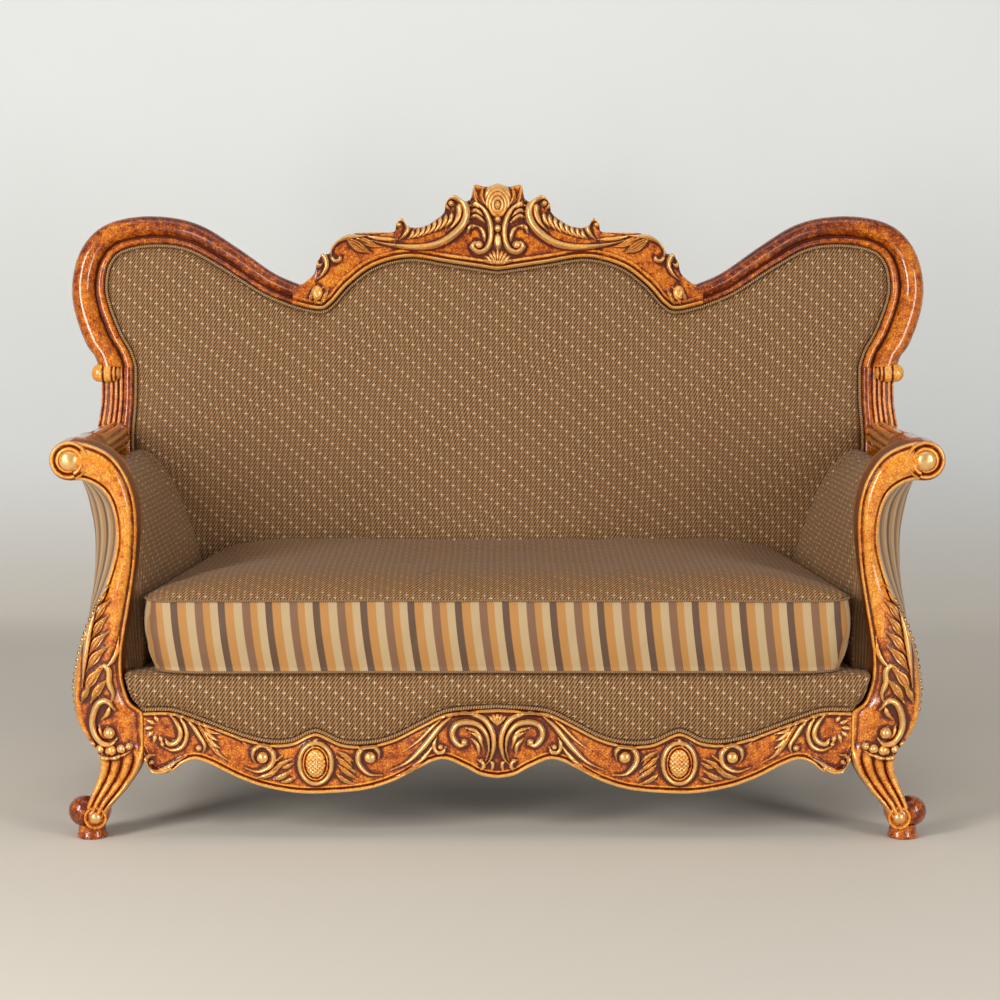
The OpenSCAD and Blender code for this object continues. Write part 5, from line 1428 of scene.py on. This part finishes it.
def show_wood():
    """Orange brown lacquer with dark flecks, rubbed gold on high edges and painted shade in the
    hollows.
    """
    p = Paint("carved lacquered wood")
    at = p.coords()
    height = p.node("Attribute", 2, settings={"attribute_name": "tone"})
    cloud = p.noise(at, 70.0, 5.0, 0.65)
    fleck = p.noise(at, 300.0, 4.0, 0.7)
    broad = p.noise(at, 9.0, 2.0)
    v = p.plus(p.times(cloud, 0.42), p.times(fleck, 0.58))
    v = p.plus(v, p.times(p.minus(broad, 0.5), 0.20))
    # High tone lightens the lacquer; low tone darkens it as painted shade in the hollows.
    v = p.plus(v, p.times(height, 0.34))
    web = p.node("TexVoronoi", settings={"feature": "DISTANCE_TO_EDGE"}, Vector=at, Scale=150.0)
    cracks = p.times(p.step(web, 0.10, 0.02), p.step(fleck, 0.42, 0.58))
    cells = p.node("TexVoronoi", Vector=at, Scale=300.0)
    spots = p.times(p.step(cells, 0.34, 0.14), p.step(cloud, 0.46, 0.60))
    dark = p.times(p.math("MAXIMUM", cracks, spots), 0.7)
    color = p.mix(dark, p.ramp(v, *LACQUER), srgb(86, 28, 8))
    # High values rub through to gold; low values mark the hollows for painted shade.
    worn = p.plus(height, p.times(p.minus(cloud, 0.5), 1.3))
    gold = p.step(worn, 0.34, 0.88)
    hollow_shade = p.step(p.times(worn, -1.0), 0.02, 0.70)
    leaf = p.mix(p.noise(at, 160.0, 3.0), srgb(210, 138, 56), srgb(255, 224, 158))
    color = p.mix(p.times(gold, 0.9), color, leaf)
    # Painted shade: the hollows are mixed towards dark red brown.
    color = p.mix(p.times(hollow_shade, 0.82), color, srgb(88, 30, 8))
    p.bump(fleck, 0.10, 0.0006)
    return p.surface(
        Base_Color=color, Metallic=p.times(gold, 0.65), Roughness=p.plus(0.24, p.times(fleck, 0.12)),
        Specular_IOR_Level=0.15, Coat_Weight=0.95, Coat_Roughness=0.12)


def gilt_brass():
    p = Paint("rubbed gilt brass")
    f = p.noise(p.coords(), 180.0)
    color = p.mix(p.step(f, 0.40, 0.62), srgb(150, 94, 42), srgb(232, 178, 104))
    return p.surface(Base_Color=color, Metallic=0.8, Roughness=p.plus(0.22, p.times(f, 0.2)))


CROSS_U, CROSS_V = 11.5, 9.2


def lattice(name, cushion=False):
    """Brown and gold cloth with a fine slanting rib and small pale crosses. On the cushion it lies
    straight across, and the crosses on its crown are worn."""
    p = Paint(name)
    if cushion:
        u, back, up = p.in_mm("Object")
        v = p.plus(back, up)
    else:
        u, v, _ = p.in_mm()
    u = p.plus(u, p.times(p.minus(p.noise(p.coords(), 60.0, 2.0), 0.5), 1.2))
    i, j = (p.math("ROUND", p.math("DIVIDE", c, w)) for c, w in ((u, CROSS_U), (v, CROSS_V)))
    du, dv = (p.math("ABSOLUTE", p.minus(c, p.times(k, w)))
              for c, k, w in ((u, i, CROSS_U), (v, j, CROSS_V)))
    bars = [p.times(p.step(a, 1.1, 0.4), p.step(b, 4.4, 2.8)) for a, b in ((du, dv), (dv, du))]
    cross = p.math("MAXIMUM", *bars)
    # Every fourth slanting row of crosses is bright
    row = p.math("FLOORED_MODULO", p.plus(i, j), 4.0)
    bright = p.plus(0.20, p.times(p.step(row, 0.5, 0.4), 0.48))
    if cushion:
        worn = p.step(up, C_HIGH + 4, C_HIGH + 20)
        bright = p.times(bright, p.minus(1.0, p.times(worn, 0.65)))
    rib = p.step(p.half_wave(p.plus(u, p.times(v, -0.62)), CROSS_U / 2), 0.15, 0.85)
    thread = p.half_wave(u, CROSS_U, "COSINE")
    streak = p.noise(p.node("CombineXYZ", X=p.times(u, 0.35), Y=p.times(v, 0.03)), 1.0, 2.0)
    grain = p.noise(p.node("CombineXYZ", X=u, Y=v), 0.9, 2.0)
    ground = p.mix(rib, srgb(36, 20, 8), srgb(162, 114, 60))
    ground = p.mix(p.times(thread, 0.14), ground, srgb(188, 130, 52))
    ground = p.mix(p.step(streak, 0.42, 0.62), ground, p.mix(rib, srgb(44, 24, 10), srgb(166, 111, 55)))
    ground = p.mix(p.times(grain, 0.22), ground, srgb(64, 42, 22))
    color = p.mix(p.times(cross, bright), ground, srgb(226, 208, 168))
    p.bump(p.plus(p.times(rib, 0.5), cross), 0.35, 0.0006)
    return p.surface(Base_Color=color, Roughness=0.75, Sheen_Weight=0.06, Sheen_Roughness=0.5)


# The widths of the bands in mm, and their colours
STRIPES = [
    (12.5, (80, 54, 37)), (15.5, (180, 125, 58)), (15, (185, 159, 118)), (14.5, (119, 82, 56)),
    (12.5, (180, 125, 58)), (14, (185, 159, 118))]
STRIPE_BLUR = 0.7
# Keeps the coordinate across the stripes above 0 all over a piece
FAR = 1000.0
BOXING_LEAN = 15.0


def stripes(name, along):
    """Bands of dark brown, gold and cream across the first of two coordinates in mm."""
    p = Paint(name)
    u, v = along(p)
    total = sum(w for w, _ in STRIPES)
    start, stops = 0.0, []
    for w, c in STRIPES:
        stops += [((start + d) / total, srgb(*c)) for d in (STRIPE_BLUR, w - STRIPE_BLUR)]
        start += w
    bands = p.ramp(p.math("FRACT", p.math("DIVIDE", u, total)), *stops)
    threads = p.times(p.wave(u, 1.6), p.wave(v, 1.6))
    grain = p.noise(p.node("CombineXYZ", X=u, Y=p.times(v, 0.15)), 0.8, 3.0)
    p.bump(p.plus(threads, grain), 0.25, 0.0004)
    return p.surface(Base_Color=p.mix(p.times(grain, 0.22), bands, srgb(140, 102, 62)), Roughness=0.55,
                     Sheen_Weight=0.15)


def boxing_coords(p):
    """Distance round the cushion and height, with the slight lean of the stripes."""
    x, y, z = p.in_mm("Object")
    side = p.step(p.math("ABSOLUTE", p.parts("Normal")[0]), 0.69, 0.72)
    run = p.plus(p.times(x, p.minus(1.0, side)), p.times(y, side))
    drop = p.math("DIVIDE", p.minus(C_HIGH, z), C_HIGH - C_LOW)
    lean = p.math("POWER", p.math("MAXIMUM", drop, 0.001), 1.5)
    return p.minus(p.plus(run, FAR), p.times(lean, BOXING_LEAN)), z


def panel_coords(p):
    u, v, _ = p.in_mm()
    return p.plus(u, FAR), v


def braid(name, dark, light, pitch):
    """Cord twisted of two colours."""
    p = Paint(name)
    u, v, _ = p.in_mm()
    turn = p.plus(p.times(u, CIRCLE / pitch), p.times(v, 0.5))
    ply = p.half_wave(turn, CIRCLE)
    p.bump(ply, 0.5, 0.0012)
    color = p.mix(p.step(ply, 0.35, 0.85), dark, light)
    return p.surface(Base_Color=color, Roughness=0.5, Sheen_Weight=0.2)


def beech():
    p = Paint("plain beech")
    along = p.node("Mapping", Vector=p.coords(), Scale=(6.0, 60.0, 60.0))
    n = p.node("TexNoise", Vector=along, Scale=2.0, Detail=6.0)
    p.bump(n, 0.15, 0.001)
    color = p.mix(p.step(n, 0.40, 0.60), srgb(196, 154, 108), srgb(222, 186, 142))
    return p.surface(Base_Color=color, Roughness=0.6)


def weave(name, dark, light, size, bump):
    """Plain weave whose threads are size wide."""
    p = Paint(name)
    x, y, z = p.in_mm("Object")
    w = p.plus(0.5, p.times(0.5, p.times(p.wave(p.plus(x, z), size), p.wave(p.plus(y, z), size))))
    shade = p.plus(p.times(w, 0.6), p.times(p.noise(p.coords(), 90.0), 0.4))
    p.bump(w, 0.4, bump)
    return p.surface(Base_Color=p.mix(shade, dark, light), Roughness=0.85)


WOOD, GILT, BEECH = show_wood(), gilt_brass(), beech()
LATTICE = lattice("small patterned cloth")
COVER = lattice("small patterned cloth on the cushion", cushion=True)
PANEL = stripes("striped cloth on the arms", panel_coords)
SIDES = stripes("striped cloth on the cushion", boxing_coords)
BRAID = braid("twisted braid", srgb(96, 64, 34), srgb(190, 142, 84), 4.5)
CORD = braid("cloth cord", srgb(92, 66, 38), srgb(158, 116, 64), 4)
JUTE = weave("jute webbing", srgb(120, 90, 54), srgb(190, 156, 108), 5.0, 0.001)
BLACK = weave("black cotton", srgb(18, 18, 18), srgb(40, 40, 40), 1.6, 0.0003)

# The sofa


def finish(o, slot, *materials, fill=None):
    """Gives a piece its materials. slot and fill are not used."""
    for m in materials:
        o.data.materials.append(m)


def both(o, stem):
    """A right piece and its mirrored left one, in place of the two CAD nodes."""
    left = mirrored(o, o.name.replace("right", "left"))
    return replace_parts(o, stem + "_right"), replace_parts(left, stem + "_left")


for piece, stem in ((front_post(), "front_post"), (ear(), "back_ear"), (back_post(), "back_post"),
                    (arm_roll(), "arm_roll")):
    for o in both(piece, stem):
        finish(o, "show_wood", WOOD)
for piece, node in ((apron(), "front_apron"), (crest(), "crest_rail")):
    finish(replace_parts(piece, node), "show_wood", WOOD)

for piece, node, fill in ((back_pad(), "back_pad", 0.85), (border(), "deck_front_border", 0.8),
                          (deck(), "deck_pad", 0.8), (back_cover(), "back_panel", 0.9)):
    finish(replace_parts(piece, node), "lattice_cloth", LATTICE, fill=fill)
for o in both(arm_pad(), "arm_pad"):
    finish(o, "lattice_cloth", LATTICE, fill=0.8)
for o in both(arm_panel(), "arm_panel"):
    finish(o, "striped_cloth", PANEL, fill=0.9)

TWIST = 12
BACK_CORD_R, DECK_CORD_R, CUSHION_CORD_R = 2.7, 3.2, 2.1
BACK_CORD_IN, BACK_CORD_B, DECK_CORD_Y, DECK_CORD_LIFT = 4.6, -1.4, 4.4, 4
line = even(inset(BACK_CORD_IN, PAD_LOW), 2600)
o = sweep("back_gimp_cord", back_space(line[:, 0], BACK_CORD_B, line[:, 1]), BACK_CORD_R, twist=TWIST,
          up=BACK_IN)
finish(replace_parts(o, "back_gimp"), "braid", BRAID)
line = even(both_sides(apron_top[1:]), 1300)
o = sweep("deck_gimp_cord", upright(line[:, 0], APRON_Y + DECK_CORD_Y, line[:, 1] + DECK_CORD_LIFT),
          DECK_CORD_R, twist=TWIST)
finish(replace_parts(o, "deck_gimp"), "braid", BRAID)

cover, kind, seams = cushion()
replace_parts(cover, "cushion_core", "cushion_top_panel", "cushion_bottom_panel", "cushion_boxing")
finish(cover, "lattice_cloth", COVER, SIDES, fill=0.85)
cover.data.polygons.foreach_set("material_index", kind)
for where, seam in zip(("top", "bottom"), seams):
    o = sweep("cushion_" + where + "_cord", even_ring(seam, 2199), CUSHION_CORD_R, sides=10,
              body="cushion", closed=True, up=(0, 0, 1))
    finish(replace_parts(o, "cushion_" + where + "_piping"), "braid", CORD)

# CAD nodes that show as they are
PLAIN = {
    BEECH: ["inner_front_rail", "side_seat_rail_left", "side_seat_rail_right", "back_seat_rail",
            "seat_brace", "corner_blocks", "back_liner_rail", "back_upright", "frame_dowels",
            "arm_tack_rail_left", "arm_tack_rail_right"],
    JUTE: ["seat_webbing", "back_webbing"],
    GILT: ["nailheads_left", "nailheads_right"],
    BLACK: ["dust_cover"],
}
for material, nodes in PLAIN.items():
    for node in nodes:
        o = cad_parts[node]
        if not o.material_slots:
            o.data.materials.append(None)
        for s in o.material_slots:
            s.material = material

# Studio, in metres

WALL_Y, WALL_HALF, WALL_TOP, COVE_R, FLOOR_REACH = 1.9, 6.0, 6.0, 0.9, 14.0
SENSOR_W = 36
CAMERA_AT = (0.0046, -4.764, 1.2)


def ground_paint(name, one_sided):
    """Pale paint that turns from the colour of the floor to that of the wall. The wall is seen from
    its front alone, so that it never hides the sofa's back."""
    p = Paint(name)
    x, y, z = p.in_mm("Object")
    color = p.mix(p.step(z, 0.0, 500.0), srgb(217, 211, 200), srgb(241, 245, 246))
    color = p.mix(p.times(p.noise(p.coords(), 3.0, 2.0), 0.05), color, srgb(190, 186, 178))
    if one_sided:
        ray, face = p.new("LightPath").outputs, p.new("NewGeometry").outputs
        seen = p.math("MAXIMUM", ray["Is Camera Ray"], ray["Is Glossy Ray"])
        solid = p.times(p.times(seen, p.minus(1.0, face["Backfacing"])), p.step(z, 20.0, 100.0))
    else:
        away = p.math("SQRT", p.plus(p.times(x, x), p.times(y, y)))
        solid = p.step(away, 6500.0, 2800.0)
    clear = p.new("BsdfTransparent").outputs[0]
    p.put(p.out.inputs[0], p.new("MixShader", solid, clear, p.shader.outputs[0]).outputs[0])
    return p.surface(Base_Color=color, Roughness=1.0, Specular_IOR_Level=0.0)


def ground(name, profile, half, one_sided):
    """The floor or the wall: a profile of (y, z) in metres drawn out to both sides."""
    v = [(x, y, z) for y, z in profile for x in (-half, half)]
    f = [(2 * i, 2 * i + 1, 2 * i + 3, 2 * i + 2) for i in range(len(profile) - 1)]
    m = bpy.data.meshes.new(name)
    m.from_pydata(v, [], f)
    shade_smooth(m)
    o = bpy.data.objects.new(name, m)
    bpy.context.collection.objects.link(o)
    m.materials.append(ground_paint("pale " + name, one_sided))


def lamp(name, at, to, size, watts, color=(1, 1, 1)):
    d = bpy.data.lights.new(name, "AREA")
    d.shape, d.size, d.size_y = "RECTANGLE", size[0], size[1]
    d.energy, d.color = watts, color
    o = bpy.data.objects.new(name, d)
    bpy.context.collection.objects.link(o)
    o.location = at
    v = np.array(to, float) - at
    o.rotation_euler = (math.atan2(math.hypot(v[0], v[1]), -v[2]), 0, math.atan2(-v[0], v[1]))


def sky():
    """A dim warm light from all round. The camera sees it pale."""
    world = bpy.data.worlds.new("studio")
    bpy.context.scene.world = world
    world.use_nodes = True
    t = world.node_tree
    light = t.nodes["Background"]
    light.inputs[0].default_value = (1.0, 0.98, 0.95, 1)
    light.inputs[1].default_value = 0.30
    kinds = ("Background", "MixShader", "LightPath")
    pale, either, ray = (t.nodes.new("ShaderNode" + k) for k in kinds)
    pale.inputs[0].default_value = srgb(225, 225, 221)
    t.links.new(either.inputs[0], ray.outputs["Is Camera Ray"])
    t.links.new(either.inputs[1], light.outputs[0])
    t.links.new(either.inputs[2], pale.outputs[0])
    t.links.new(t.nodes["World Output"].inputs[0], either.outputs[0])


def camera():
    """The camera of the photograph, a little off its middle."""
    cam = bpy.data.cameras.new("camera")
    cam.sensor_width, cam.lens = SENSOR_W, SENSOR_W * LENS / PHOTO_W
    o = bpy.data.objects.new("camera", cam)
    bpy.context.collection.objects.link(o)
    o.location = CAMERA_AT
    o.rotation_euler = (math.pi / 2 - PITCH, 0, 0)
    bpy.context.scene.camera = o


turns = np.linspace(0, math.pi / 2, 24)
cove = [(WALL_Y - COVE_R + COVE_R * math.sin(t), COVE_R - COVE_R * math.cos(t)) for t in turns]
ground("floor", [(-FLOOR_REACH, 0.0), (FLOOR_REACH, 0.0)], FLOOR_REACH, False)
ground("wall", [*cove, (WALL_Y, WALL_TOP)], WALL_HALF, True)
WARM = (1.0, 0.98, 0.95)
lamp("key", (-2.7, -3.0, 1.8), (0, 0, 0.6), (0.9, 2.2), 112, (1.0, 0.97, 0.93))
lamp("key_low", (-1.7, -3.3, 0.55), (-0.3, 0, 0.5), (0.5, 0.9), 10, WARM)
lamp("fill_low", (1.8, -3.3, 0.55), (0.3, 0, 0.5), (0.5, 0.9), 7, WARM)
lamp("fill", (3.0, -3.2, 1.5), (0, 0, 0.6), (0.9, 2.2), 72, WARM)
lamp("top", (0, -0.9, 3.6), (0, 0.1, 0), (3.0, 1.6), 18)
lamp("rear", (0.8, 3.6, 2.4), (0, 0, 0.6), (3.0, 1.6), 22)
sky()
camera()
bpy.context.scene.view_settings.view_transform = "Standard"
